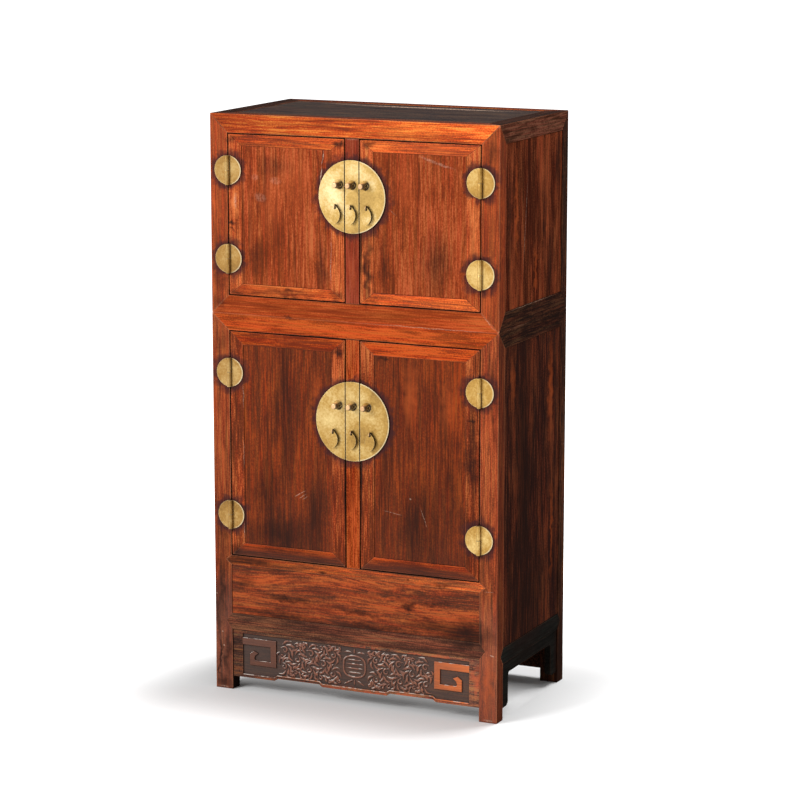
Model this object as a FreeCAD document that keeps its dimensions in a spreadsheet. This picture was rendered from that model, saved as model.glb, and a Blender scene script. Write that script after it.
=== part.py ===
"""Two-part compound cabinet: a small upper cupboard that stands on a tall lower cupboard.

Millimetres. +Z is up, the doors face -Y, and the origin is on the floor, at the middle of the
cabinet's bounding box.
"""
import FreeCAD
import Part
import Sketcher
import os
from math import atan2, sqrt

# Driving dimensions
SIZES = {
    # Cases
    "cabinet_width": 556.0,
    "cabinet_depth": 312.0,
    "lower_case_height": 694.0,
    "upper_case_height": 356.0,
    "post_width": 34.0,
    "post_depth": 27.0,
    "upper_top_rail": 33.5,
    "upper_bottom_rail": 33.0,
    "lower_top_rail": 30.0,
    "sill_level": 251.5,
    "sill_rail": 17.5,
    "bottom_rail_level": 143.0,
    "side_bottom_rail_level": 131.0,
    "bottom_rail": 29.5,
    # Pointed shoulders, where a rail meets the face of a post
    "point_length": 11.0,
    "point_depth": 9.0,
    # Framed panels
    "panel_thickness": 8.0,
    "panel_recess": 1.0,
    "tongue_depth": 5.0,
    "tongue_thickness": 4.0,
    "floor_drop": 20.0,
    # Aprons
    "apron_thickness": 12.0,
    "apron_setback": 2.0,
    "front_apron_lift": 24.5,
    "apron_end_drop": 84.0,
    "apron_centre_drop": 128.0,
    "apron_slope": 6.0,
    "apron_rise": 4.5,
    "carving_depth": 2.5,
    "carving_edge": 6.5,
    "carving_end": 20.0,
    "carving_top": 7.0,
    "side_apron_lift": 80.0,
    "side_bracket_width": 29.0,
    "side_bracket_lift": 20.0,
    "bracket_corner": 6.0,
    "bracket_toe": 9.0,
    "back_apron_lift": 20.0,
    # Inside the lower case
    "board_thickness": 12.0,
    "board_clearance": 1.0,
    "bearer_height": 16.0,
    "shelf_level": 452.0,
    # Doors
    "door_gap": 2.0,
    "door_thickness": 20.0,
    "door_stile": 26.0,
    "upper_door_rail": 20.0,
    "lower_door_rail": 23.0,
    "batten_height": 26.0,
    "batten_thickness": 9.0,
    # Centre stiles
    "centre_stile": 26.0,
    "stop_lip_width": 6.0,
    "stop_lip_thickness": 6.0,
    "stop_gap": 0.5,
    "tenon_width": 16.0,
    "tenon_thickness": 8.0,
    "tenon_length": 10.0,
    # Hinges
    "hinge_diameter": 52.0,
    "plate_thickness": 1.5,
    "barrel_radius": 3.8,
    "barrel_clearance": 0.4,
    "pin_radius": 2.0,
    "pin_fit": 0.02,
    "pin_running_fit": 0.06,
    "knuckle_gap": 0.5,
    "upper_hinge_inset": 66.0,
    "lower_hinge_inset": 76.0,
    # Round lock plates
    "upper_plate_diameter": 128.0,
    "lower_plate_diameter": 142.0,
    "upper_plate_rise": 43.0,
    "lower_plate_rise": 60.0,
    # Lock loops, which a padlock's bar passes through
    "loop_foot_radius": 9.2,
    "loop_neck_radius": 5.4,
    "loop_flare_length": 10.0,
    "loop_length": 18.5,
    "loop_tip_round": 2.5,
    "loop_hole_radius": 2.8,
    "loop_hole_stand_off": 5.2,
    "upper_loop_spread": 25.0,
    "lower_loop_spread": 28.0,
    "upper_loop_rise": 21.0,
    "lower_loop_rise": 28.0,
    # Drop pulls and the ring eyes that carry them
    "eye_radius": 3.2,
    "eye_wire_radius": 1.2,
    "eye_stand_off": 5.0,
    "upper_eye_spread": 30.0,
    "lower_eye_spread": 36.0,
    "upper_eye_drop": 17.0,
    "lower_eye_drop": 19.0,
    "pull_length": 31.0,
    "pull_side_radius": 18.2,
    "pull_thickness": 1.6,
    "pull_lug_radius": 3.84,
    "pull_lug_half_width": 3.6,
    "pull_lug_shoulder": 1.5,
    "pull_hole_radius": 2.0,
    "pull_hole_drop": 3.0,
}

AXIS = {
    "x": FreeCAD.Vector(1, 0, 0),
    "y": FreeCAD.Vector(0, 1, 0),
    "z": FreeCAD.Vector(0, 0, 1),
}


class Size:
    """A length as a formula on the sheet's cells, with the number that it gives."""

    def __init__(self, formula, value):
        self.formula = formula
        self.value = value

    def __add__(self, other):
        other = as_size(other)
        return Size(f"({self.formula} + {other.formula})", self.value + other.value)

    def __sub__(self, other):
        other = as_size(other)
        return Size(f"({self.formula} - {other.formula})", self.value - other.value)

    def __mul__(self, factor):
        return Size(f"({self.formula} * {factor})", self.value * factor)

    def __truediv__(self, divisor):
        return Size(f"({self.formula} / {divisor})", self.value / divisor)

    def __neg__(self):
        return Size(f"(0 - {self.formula})", -self.value)


def as_size(length):
    if isinstance(length, Size):
        return length
    return Size(str(length), float(length))


ZERO = as_size(0)

doc = FreeCAD.newDocument("compound_cabinet")
sheet = doc.addObject("Spreadsheet::Sheet", "Sizes")
for row, (alias, number) in enumerate(SIZES.items(), start=1):
    sheet.set(f"A{row}", alias)
    sheet.set(f"B{row}", str(number))
    sheet.setAlias(f"B{row}", alias)
doc.recompute()
size = {alias: Size(f"Sizes.{alias}", number) for alias, number in SIZES.items()}

sub_parts = []


def bind(thing, **lengths):
    """Tie each named property of a solid to its formula."""
    for name, length in lengths.items():
        thing.setExpression(name, length.formula)
    return thing


def place(thing, x, y, z):
    for axis, length in zip("xyz", (x, y, z)):
        thing.setExpression(f"Placement.Base.{axis}", length.formula)
    return thing


def box(name, x, y, z):
    """A plain board between two limits along each axis."""
    board = doc.addObject("Part::Box", name)
    bind(board, Length=x[1] - x[0], Width=y[1] - y[0], Height=z[1] - z[0])
    return place(board, x[0], y[0], z[0])


def cylinder(name, axis, base, radius, length):
    """A round bar that starts at base and runs along an axis."""
    bar = doc.addObject("Part::Cylinder", name)
    bar.Placement.Rotation = FreeCAD.Rotation(AXIS["z"], AXIS[axis])
    bind(bar, Radius=radius, Height=length)
    return place(bar, *base)


def tapered(name, x, y, z, along, taper, outer, low_cut, high_cut):
    """A board whose two ends are sawn back, by the two cuts, from its outer edge to its inner one."""
    span = {"x": x, "y": y, "z": z}
    across = ({"x", "y", "z"} - {along, taper}).pop()
    inward = AXIS[taper] if outer == "low" else -AXIS[taper]
    sideways = inward.cross(AXIS[along])
    board = doc.addObject("Part::Wedge", name)
    board.Placement.Rotation = FreeCAD.Rotation(sideways, inward, AXIS[along], "ZYX")
    thickness = span[across][1] - span[across][0]
    low, high = span[along]
    bind(board, Xmin=ZERO, Xmax=thickness, X2min=ZERO, X2max=thickness)
    bind(board, Ymin=ZERO, Ymax=span[taper][1] - span[taper][0])
    bind(board, Zmin=low, Zmax=high, Z2min=low + low_cut, Z2max=high - high_cut)
    corner = {
        along: ZERO,
        taper: span[taper][0] if outer == "low" else span[taper][1],
        across: span[across][0] if sideways.dot(AXIS[across]) > 0 else span[across][1],
    }
    return place(board, corner["x"], corner["y"], corner["z"])


def fuse(name, *pieces, merge_faces=True):
    solid = doc.addObject("Part::MultiFuse", name)
    solid.Shapes = list(pieces)
    solid.Refine = merge_faces
    return solid


def common(name, *pieces):
    solid = doc.addObject("Part::MultiCommon", name)
    solid.Shapes = list(pieces)
    return solid


def let_in(host, *guests):
    """The host with a socket for each guest: a groove, a mortise, a bore or a shoulder."""
    for guest in guests:
        cut = doc.addObject("Part::Cut", f"{host.Name}_socket")
        cut.Base = host
        cut.Tool = guest
        host = cut
    return host


def mirrored(thing):
    """The same piece on the other side of the cabinet."""
    other = doc.addObject("Part::Mirroring", f"{thing.Name}_other_side")
    other.Source = thing
    other.Normal = AXIS["x"]
    return other


def sub_part(label, *solids):
    """One named sub-part, made of one solid or of a group of separate solids."""
    group = doc.addObject("Part::Compound", label)
    group.Links = list(solids)
    group.Label = label
    sub_parts.append(group)
    return group


def pair(label, *solids):
    return sub_part(label, *solids, *[mirrored(solid) for solid in solids])


def mitred_member(name, x, y, z, along, outer, low_cut, high_cut):
    """A member of a case whose corners are mitred on both of its outer faces."""
    faces = []
    for taper, side in outer.items():
        faces.append(tapered(f"{name}_{taper}", x, y, z, along, taper, side, low_cut, high_cut))
    return common(name, *faces)


def pointed_rail(name, x, y, z, along, face):
    """A rail with a pointed shoulder at each end, on its outer face."""
    span = {"x": x, "y": y, "z": z}
    across = "y" if along == "x" else "x"
    near, far = span[across]
    half = (z[1] - z[0]) / 2
    skin = (near, near + size["point_depth"]) if face == "low" else (far - size["point_depth"], far)
    low, high = span[along]
    pieces = [box(f"{name}_bar", x, y, z)]
    tips = {"high": (low - size["point_length"], low), "low": (high, high + size["point_length"])}
    for outer, reach in tips.items():
        limits = {along: reach, across: skin, "z": z}
        tip = tapered(f"{name}_point", limits["x"], limits["y"], z, "z", along, outer, half, half)
        pieces.append(tip)
    return fuse(name, *pieces)


def framed_panel(name, x, y, z, normal):
    """A board that fills a frame, with a thinner tongue all round that runs in the frame's grooves."""
    inset = (size["panel_thickness"] - size["tongue_thickness"]) / 2
    limits = {}
    for axis, (low, high) in {"x": x, "y": y, "z": z}.items():
        if axis == normal:
            limits[axis] = (low + inset, high - inset)
        else:
            limits[axis] = (low - size["tongue_depth"], high + size["tongue_depth"])
    field = box(f"{name}_field", x, y, z)
    tongue = box(f"{name}_tongue", limits["x"], limits["y"], limits["z"])
    return fuse(name, field, tongue)


def arc_between(start, finish, radius):
    """The lesser arc between two points: counter-clockwise, or clockwise for a negative radius."""
    chord = finish - start
    half = chord.Length / 2
    side = FreeCAD.Vector(-chord.y, chord.x, 0).normalize()
    rise = sqrt(max(radius * radius - half * half, 0.0))
    centre = (start + finish) / 2 + side * (rise if radius > 0 else -rise)
    first, last = (start, finish) if radius > 0 else (finish, start)
    angles = [atan2(point.y - centre.y, point.x - centre.x) for point in (first, last)]
    circle = Part.Circle(centre, FreeCAD.Vector(0, 0, 1), abs(radius))
    return Part.ArcOfCircle(circle, angles[0], angles[1])


def outline(body, name, plane, corners, arcs):
    """A closed sketch through corners; arcs gives the radius of each side that is round."""
    sketch = body.newObject("Sketcher::SketchObject", name)
    role = next(item for item in body.Origin.OriginFeatures if item.Role == plane)
    sketch.AttachmentSupport = [(role, "")]
    sketch.MapMode = "FlatFace"
    points = [FreeCAD.Vector(u.value, v.value, 0) for u, v in corners]
    ends = []
    for index, start in enumerate(points):
        finish = points[(index + 1) % len(points)]
        if index not in arcs:
            ends.append((sketch.addGeometry(Part.LineSegment(start, finish)), 1, 2))
            continue
        radius = arcs[index]
        edge = sketch.addGeometry(arc_between(start, finish, radius.value))
        ends.append((edge, 1, 2) if radius.value > 0 else (edge, 2, 1))
        rule = sketch.addConstraint(Sketcher.Constraint("Radius", edge, abs(radius.value)))
        sketch.setExpression(f"Constraints[{rule}]", f"abs({radius.formula})")
    for index, (edge, first, last) in enumerate(ends):
        following, opening, _ = ends[(index + 1) % len(ends)]
        sketch.addConstraint(Sketcher.Constraint("Coincident", edge, last, following, opening))
        for kind, axis, length in zip(("DistanceX", "DistanceY"), (-2, -1), corners[index]):
            if length is ZERO:
                sketch.addConstraint(Sketcher.Constraint("PointOnObject", edge, first, axis))
                continue
            rule = sketch.addConstraint(Sketcher.Constraint(kind, -1, 1, edge, first, length.value))
            sketch.setExpression(f"Constraints[{rule}]", length.formula)
    return sketch


def sawn_board(name, plane, corners, arcs, thickness):
    """A board sawn to an outline."""
    body = doc.addObject("PartDesign::Body", name)
    sketch = outline(body, f"{name}_outline", plane, corners, arcs)
    pad = body.newObject("PartDesign::Pad", f"{name}_pad")
    pad.Profile = sketch
    bind(pad, Length=thickness)
    return body


# Reference planes that the sub-parts share
loop_reach = size["plate_thickness"] + size["loop_length"]
front = (loop_reach - size["cabinet_depth"]) / 2
back = front + size["cabinet_depth"]
right = size["cabinet_width"] / 2
left = -right
inner_left = left + size["post_width"]
inner_right = right - size["post_width"]
inner_front = front + size["post_depth"]
inner_back = back - size["post_depth"]
parting = size["lower_case_height"]
top = parting + size["upper_case_height"]
sill_bottom = size["sill_level"] - size["sill_rail"]
bottom_rail_bottom = size["bottom_rail_level"] - size["bottom_rail"]
side_rail_bottom = size["side_bottom_rail_level"] - size["bottom_rail"]
panel_back = size["panel_recess"] + size["panel_thickness"]

WIDE = (left, right)
DEEP = (front, back)
BETWEEN_POSTS = (inner_left, inner_right)
BETWEEN_ENDS = (inner_front, inner_back)
LEFT_POST = (left, inner_left)
FRONT_POST = (front, inner_front)
BACK_POST = (inner_back, back)
SIDE_PANEL = (left + size["panel_recess"], left + panel_back)
BACK_PANEL = (back - panel_back, back - size["panel_recess"])


def mitred_frame(name, z, edge):
    """The front, back and left rails of a case's mitred top or bottom frame."""
    width = size["post_width"]
    depth = size["post_depth"]
    rail_faces = {"z": edge, "y": "low"}
    front_rail = mitred_member(f"{name}_front", WIDE, FRONT_POST, z, "x", rail_faces, width, width)
    rail_faces = {"z": edge, "y": "high"}
    back_rail = mitred_member(f"{name}_back", WIDE, BACK_POST, z, "x", rail_faces, width, width)
    end_faces = {"z": edge, "x": "low"}
    end_rail = mitred_member(f"{name}_end", LEFT_POST, DEEP, z, "y", end_faces, depth, depth)
    return front_rail, back_rail, end_rail


def case_posts(name, z, low_cut, high_cut):
    """The left front and left back posts of a case."""
    sides = {"x": "low", "y": "low"}
    front_post = mitred_member(f"{name}_front", LEFT_POST, FRONT_POST, z, "z", sides, low_cut, high_cut)
    sides = {"x": "low", "y": "high"}
    back_post = mitred_member(f"{name}_back", LEFT_POST, BACK_POST, z, "z", sides, low_cut, high_cut)
    return front_post, back_post


def centre_stile(name, z):
    """The upright between two doors: lips behind stop the doors, tenons hold its ends."""
    half = size["centre_stile"] / 2
    lip_front = front + size["door_thickness"] + size["stop_gap"]
    lip_back = lip_front + size["stop_lip_thickness"]
    lip_half = half + size["stop_lip_width"]
    tenon_half = size["tenon_width"] / 2
    tenon_front = front + (size["door_thickness"] - size["tenon_thickness"]) / 2
    tenon_z = (z[0] - size["tenon_length"], z[1] + size["tenon_length"])
    tenon_y = (tenon_front, tenon_front + size["tenon_thickness"])
    bar = box(f"{name}_bar", (-half, half), (front, lip_back), z)
    lips = box(f"{name}_lips", (-lip_half, lip_half), (lip_front, lip_back), z)
    tenons = box(f"{name}_tenons", (-tenon_half, tenon_half), tenon_y, tenon_z)
    return fuse(name, bar, lips, tenons)


def hinge_leaf(name, level, hand):
    """Half of a round hinge: hand -1 is the left leaf, on the post, and +1 is the door's leaf."""
    radius = size["hinge_diameter"] / 2
    keep_off = size["barrel_radius"] + size["barrel_clearance"]
    face = front - size["plate_thickness"]
    low = level - radius
    high = level + radius
    half_gap = size["knuckle_gap"] / 2
    knuckle_z = (level + half_gap, high) if hand < 0 else (low, level - half_gap)
    other_z = (low, level + half_gap) if hand < 0 else (level - half_gap, high)
    half_x = (hinge_x - radius, hinge_x) if hand < 0 else (hinge_x, hinge_x + radius)
    notch_x = (hinge_x - keep_off, hinge_x) if hand < 0 else (hinge_x, hinge_x + keep_off)
    disc = cylinder(f"{name}_disc", "y", (hinge_x, face, level), radius, size["plate_thickness"])
    half = box(f"{name}_half", half_x, (face, front), (low, high))
    notch = box(f"{name}_notch", notch_x, (face, front), other_z)
    plate = let_in(common(f"{name}_plate", disc, half), notch)
    height = knuckle_z[1] - knuckle_z[0]
    base = (hinge_x, hinge_y, knuckle_z[0])
    barrel = cylinder(f"{name}_barrel", "z", base, size["barrel_radius"], height)
    fit = size["pin_fit"] if hand < 0 else size["pin_running_fit"]
    bore = cylinder(f"{name}_bore", "z", base, size["pin_radius"] + fit, height)
    return fuse(f"{name}_leaf", plate, let_in(barrel, bore), merge_faces=False)


def hinge_pin(name, level):
    length = size["hinge_diameter"]
    return cylinder(name, "z", (hinge_x, hinge_y, level - length / 2), size["pin_radius"], length)


def lock_loop(name, x, z):
    """A flared peg on the lock plate, bored sideways for the padlock's bar."""
    face = front - size["plate_thickness"]
    tip = size["loop_length"] - size["loop_tip_round"]
    nose = size["loop_neck_radius"] - size["loop_tip_round"]
    profile = [
        (ZERO, ZERO),
        (size["loop_foot_radius"], ZERO),
        (size["loop_neck_radius"], size["loop_flare_length"]),
        (size["loop_neck_radius"], tip),
        (nose, size["loop_length"]),
        (ZERO, size["loop_length"]),
    ]
    flare = -size["loop_flare_length"] * 2
    body = doc.addObject("PartDesign::Body", name)
    sketch = outline(body, f"{name}_profile", "XY_Plane", profile, {1: flare, 3: size["loop_tip_round"]})
    turned = body.newObject("PartDesign::Revolution", f"{name}_turned")
    turned.Profile = sketch
    turned.ReferenceAxis = (sketch, ["V_Axis"])
    turned.Angle = 360.0
    body.Placement.Rotation = FreeCAD.Rotation(AXIS["z"], 180)
    place(body, x, face, z)
    reach = size["loop_foot_radius"]
    base = (x - reach, face - size["loop_hole_stand_off"], z)
    hole = cylinder(f"{name}_hole", "x", base, size["loop_hole_radius"], reach * 2)
    return let_in(body, hole)


def ring_eye(name, x, z):
    """A ring on a short shank, standing out from the lock plate."""
    face = front - size["plate_thickness"]
    ring = doc.addObject("Part::Torus", f"{name}_ring")
    ring.Placement.Rotation = FreeCAD.Rotation(AXIS["z"], AXIS["x"])
    bind(ring, Radius1=size["eye_radius"], Radius2=size["eye_wire_radius"])
    place(ring, x, face - size["eye_stand_off"], z)
    reach = size["eye_stand_off"] - size["eye_radius"]
    shank = cylinder(f"{name}_shank", "y", (x, face - reach, z), size["eye_wire_radius"], reach)
    return fuse(name, ring, shank)


def drop_pull(name, x, z):
    """A flat leaf that hangs in a ring eye and swings about the ring's axis."""
    half = size["pull_lug_half_width"]
    shoulder = -size["pull_lug_shoulder"]
    corners = [(half, shoulder), (-half, shoulder), (ZERO, -size["pull_length"])]
    arcs = {0: size["pull_lug_radius"], 1: size["pull_side_radius"], 2: size["pull_side_radius"]}
    leaf = sawn_board(name, "XZ_Plane", corners, arcs, size["pull_thickness"])
    y = front - size["plate_thickness"] - size["eye_stand_off"] + size["pull_thickness"] / 2
    place(leaf, x, y, z)
    base = (x, y - size["pull_thickness"], z - size["pull_hole_drop"])
    hole = cylinder(f"{name}_hole", "y", base, size["pull_hole_radius"], size["pull_thickness"])
    return let_in(leaf, hole)


hinge_x = inner_left + size["door_gap"] / 2
hinge_y = front - size["barrel_radius"] - size["barrel_clearance"]

# Lower case: raw members, before their sockets are cut
lower_posts = case_posts("lower_post", (ZERO, parting), ZERO, size["lower_top_rail"])
lower_rail_bottom = parting - size["lower_top_rail"]
lower_frame = mitred_frame("lower_top", (lower_rail_bottom, parting), "high")
SILL = (sill_bottom, size["sill_level"])
BOTTOM_RAIL = (bottom_rail_bottom, size["bottom_rail_level"])
SIDE_BOTTOM_RAIL = (side_rail_bottom, size["side_bottom_rail_level"])
sill_rail = pointed_rail("sill", BETWEEN_POSTS, FRONT_POST, SILL, "x", "low")
front_bottom_rail = pointed_rail("front_bottom", BETWEEN_POSTS, FRONT_POST, BOTTOM_RAIL, "x", "low")
back_bottom_rail = pointed_rail("back_bottom", BETWEEN_POSTS, BACK_POST, BOTTOM_RAIL, "x", "high")
side_bottom_rail = pointed_rail("side_bottom", LEFT_POST, BETWEEN_ENDS, SIDE_BOTTOM_RAIL, "y", "low")

LOWER_DOORWAY = (size["sill_level"], lower_rail_bottom)
LOWER_WALL = (size["bottom_rail_level"], lower_rail_bottom)
LOWER_SIDE = (size["side_bottom_rail_level"], lower_rail_bottom)
belly_y = (front + size["panel_recess"], front + panel_back)
belly_z = (size["bottom_rail_level"], sill_bottom)
lower_top_z = (parting - panel_back, parting - size["panel_recess"])
belly_floor_top = size["bottom_rail_level"] - size["floor_drop"]
belly_floor_z = (belly_floor_top - size["panel_thickness"], belly_floor_top)

belly_panel = framed_panel("belly_board", BETWEEN_POSTS, belly_y, belly_z, "y")
lower_top = framed_panel("lower_top_board", BETWEEN_POSTS, BETWEEN_ENDS, lower_top_z, "z")
belly_floor = framed_panel("belly_floor_board", BETWEEN_POSTS, BETWEEN_ENDS, belly_floor_z, "z")
lower_side = framed_panel("lower_side_board", SIDE_PANEL, BETWEEN_ENDS, LOWER_SIDE, "x")
lower_back = framed_panel("lower_back_board", BETWEEN_POSTS, BACK_PANEL, LOWER_WALL, "y")
lower_stile = centre_stile("lower_stile", LOWER_DOORWAY)

# Lower case: finished sub-parts
front_guests = (sill_rail, front_bottom_rail, belly_panel, side_bottom_rail, lower_side, belly_floor)
pair("lower_front_posts", let_in(lower_posts[0], *front_guests))
back_guests = (back_bottom_rail, side_bottom_rail, lower_side, lower_back, belly_floor)
pair("lower_back_posts", let_in(lower_posts[1], *back_guests))
lower_front_rail = let_in(lower_frame[0], lower_top, lower_stile)
lower_back_rail = let_in(lower_frame[1], lower_top, lower_back)
sub_part("lower_top_rails", lower_front_rail, lower_back_rail)
pair("lower_top_end_rails", let_in(lower_frame[2], lower_top, lower_side))
sub_part("lower_top_panel", lower_top)
sub_part("door_sill_rail", let_in(sill_rail, belly_panel, lower_stile))
sub_part("belly_panel", belly_panel)
finished_front_rail = let_in(front_bottom_rail, belly_panel, belly_floor)
finished_back_rail = let_in(back_bottom_rail, lower_back, belly_floor)
sub_part("lower_bottom_rails", finished_front_rail, finished_back_rail)
pair("lower_bottom_side_rails", let_in(side_bottom_rail, lower_side, belly_floor))
sub_part("belly_floor", belly_floor)
pair("lower_side_panels", lower_side)
sub_part("lower_back_panel", lower_back)
sub_part("lower_centre_stile", lower_stile)


def stepped_board(name, low, end, high, thickness):
    """A board behind the apron's face, with a lower edge that drops at both ends and in the middle."""
    raised = low + size["apron_rise"]
    drop_end = inner_right - size["apron_end_drop"]
    middle = size["apron_centre_drop"] / 2
    half = [
        (middle, low),
        (middle + size["apron_slope"], raised),
        (drop_end - size["apron_slope"], raised),
        (drop_end, low),
        (end, low),
        (end, high),
    ]
    corners = half + [(-x, z) for x, z in reversed(half)]
    board = sawn_board(name, "XZ_Plane", corners, {}, thickness)
    return place(board, ZERO, front + size["apron_setback"] + thickness, ZERO)


def front_apron():
    """The apron's board, with a sunk ground for the carving."""
    low = size["front_apron_lift"]
    board = stepped_board(
        "front_apron_board", low, inner_right, bottom_rail_bottom, size["apron_thickness"]
    )
    ground_low = low + size["carving_edge"]
    ground_end = inner_right - size["carving_end"]
    ground_high = bottom_rail_bottom - size["carving_top"]
    ground = stepped_board(
        "carving_ground", ground_low, ground_end, ground_high, size["carving_depth"]
    )
    return let_in(board, ground)


def side_apron():
    """A side apron, whose two brackets run down beside the posts."""
    half = (size["cabinet_depth"] - size["post_depth"] * 2) / 2
    inner = half - size["side_bracket_width"]
    low = size["side_apron_lift"]
    foot = size["side_bracket_lift"]
    corner = size["bracket_corner"]
    toe = size["bracket_toe"]
    rear = [
        (inner - corner, low),
        (inner, low - corner),
        (inner, foot + toe),
        (inner + toe, foot),
        (half, foot),
        (half, side_rail_bottom),
    ]
    corners = rear + [(-y, z) for y, z in reversed(rear)]
    count = len(corners)
    arcs = {0: -corner, 2: toe, count - 4: toe, count - 2: -corner}
    board = sawn_board("side_apron_board", "YZ_Plane", corners, arcs, size["apron_thickness"])
    return place(board, left + size["apron_setback"], (inner_front + inner_back) / 2, ZERO)


sub_part("front_apron", front_apron())
pair("side_aprons", side_apron())
back_apron_far = back - size["apron_setback"]
back_apron_y = (back_apron_far - size["apron_thickness"], back_apron_far)
back_apron_z = (size["back_apron_lift"], bottom_rail_bottom)
sub_part("back_apron", box("back_apron_board", BETWEEN_POSTS, back_apron_y, back_apron_z))

# Shelf and the lid of the belly, which lie on bearers between the front and back posts
inner_wall = left + panel_back
board_x = (inner_wall + size["board_clearance"], -inner_wall - size["board_clearance"])
board_y = (inner_front + size["board_clearance"], inner_back - size["board_clearance"])
lid_bottom = size["sill_level"] - size["board_thickness"]
bearers = []
for name, board_bottom in (("shelf_bearer", size["shelf_level"]), ("lid_bearer", lid_bottom)):
    bearer_z = (board_bottom - size["bearer_height"], board_bottom)
    bearers.append(box(name, (inner_wall, inner_left), BETWEEN_ENDS, bearer_z))
pair("bearers", *bearers)
shelf_z = (size["shelf_level"], size["shelf_level"] + size["board_thickness"])
sub_part("inner_shelf", box("shelf_board", board_x, board_y, shelf_z))
sub_part("belly_lid", box("lid_board", board_x, board_y, (lid_bottom, size["sill_level"])))

# Upper case: raw members, before their sockets are cut
UPPER = (parting, top)
upper_posts = case_posts("upper_post", UPPER, size["upper_bottom_rail"], size["upper_top_rail"])
upper_rail_bottom = top - size["upper_top_rail"]
upper_sill = parting + size["upper_bottom_rail"]
upper_frame = mitred_frame("upper_top", (upper_rail_bottom, top), "high")
base_frame = mitred_frame("upper_base", (parting, upper_sill), "low")
UPPER_DOORWAY = (upper_sill, upper_rail_bottom)
upper_top_z = (top - panel_back, top - size["panel_recess"])
upper_floor_top = upper_sill - size["floor_drop"]
upper_floor_z = (upper_floor_top - size["panel_thickness"], upper_floor_top)

upper_top = framed_panel("upper_top_board", BETWEEN_POSTS, BETWEEN_ENDS, upper_top_z, "z")
upper_floor = framed_panel("upper_floor_board", BETWEEN_POSTS, BETWEEN_ENDS, upper_floor_z, "z")
upper_side = framed_panel("upper_side_board", SIDE_PANEL, BETWEEN_ENDS, UPPER_DOORWAY, "x")
upper_back = framed_panel("upper_back_board", BETWEEN_POSTS, BACK_PANEL, UPPER_DOORWAY, "y")
upper_stile = centre_stile("upper_stile", UPPER_DOORWAY)

# Upper case: finished sub-parts
pair("upper_front_posts", let_in(upper_posts[0], upper_side, upper_floor))
pair("upper_back_posts", let_in(upper_posts[1], upper_side, upper_back, upper_floor))
upper_front_rail = let_in(upper_frame[0], upper_top, upper_stile)
upper_back_rail = let_in(upper_frame[1], upper_top, upper_back)
sub_part("upper_top_rails", upper_front_rail, upper_back_rail)
pair("upper_top_end_rails", let_in(upper_frame[2], upper_top, upper_side))
sub_part("upper_top_panel", upper_top)
base_front_rail = let_in(base_frame[0], upper_floor, upper_stile)
base_back_rail = let_in(base_frame[1], upper_floor, upper_back)
sub_part("upper_bottom_rails", base_front_rail, base_back_rail)
pair("upper_bottom_end_rails", let_in(base_frame[2], upper_floor, upper_side))
sub_part("upper_floor", upper_floor)
pair("upper_side_panels", upper_side)
sub_part("upper_back_panel", upper_back)
sub_part("upper_centre_stile", upper_stile)


def both_sides(name, *solids):
    """The left door's sub-part, and the same for the right door."""
    sub_part(name.format("left"), *solids)
    sub_part(name.format("right"), *[mirrored(solid) for solid in solids])


def door(story, doorway, rail):
    """A pair of doors: mitred frames round floating panels, with a batten behind each panel."""
    gap = size["door_gap"]
    stile = size["door_stile"]
    x = (inner_left + gap, -size["centre_stile"] / 2 - gap)
    z = (doorway[0] + gap, doorway[1] - gap)
    y = (front, front + size["door_thickness"])
    inside_x = (x[0] + stile, x[1] - stile)
    inside_z = (z[0] + rail, z[1] - rail)
    panel_y = (front + size["panel_recess"], front + panel_back)
    panel = framed_panel(f"{story}_door_board", inside_x, panel_y, inside_z, "y")
    stiles = [
        tapered(f"{story}_hinge_stile", (x[0], inside_x[0]), y, z, "z", "x", "low", rail, rail),
        tapered(f"{story}_lock_stile", (inside_x[1], x[1]), y, z, "z", "x", "high", rail, rail),
    ]
    rails = [
        tapered(f"{story}_low_rail", x, y, (z[0], inside_z[0]), "x", "z", "low", stile, stile),
        tapered(f"{story}_high_rail", x, y, (inside_z[1], z[1]), "x", "z", "high", stile, stile),
    ]
    middle = (z[0] + z[1]) / 2
    batten_z = (middle - size["batten_height"] / 2, middle + size["batten_height"] / 2)
    batten_y = (panel_y[1], panel_y[1] + size["batten_thickness"])
    batten = box(f"{story}_batten", inside_x, batten_y, batten_z)
    name = story + "_{}_door_"
    both_sides(name + "stiles", *[let_in(member, panel) for member in stiles])
    both_sides(name + "rails", *[let_in(member, panel) for member in rails], batten)
    both_sides(name + "panel", panel)


def hinges(story, doorway, inset):
    """Two round hinges to each door: one leaf and the pin on the post, the other leaf on the door."""
    post_side = []
    door_side = []
    for place_name, level in (("low", doorway[0] + inset), ("high", doorway[1] - inset)):
        name = f"{story}_{place_name}_hinge"
        post_side.append(hinge_leaf(f"{name}_post", level, -1))
        post_side.append(hinge_pin(f"{name}_pin", level))
        door_side.append(hinge_leaf(f"{name}_door", level, 1))
    pair(f"{story}_post_hinges", *post_side)
    both_sides(story + "_{}_door_hinge_leaves", *door_side)


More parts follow.
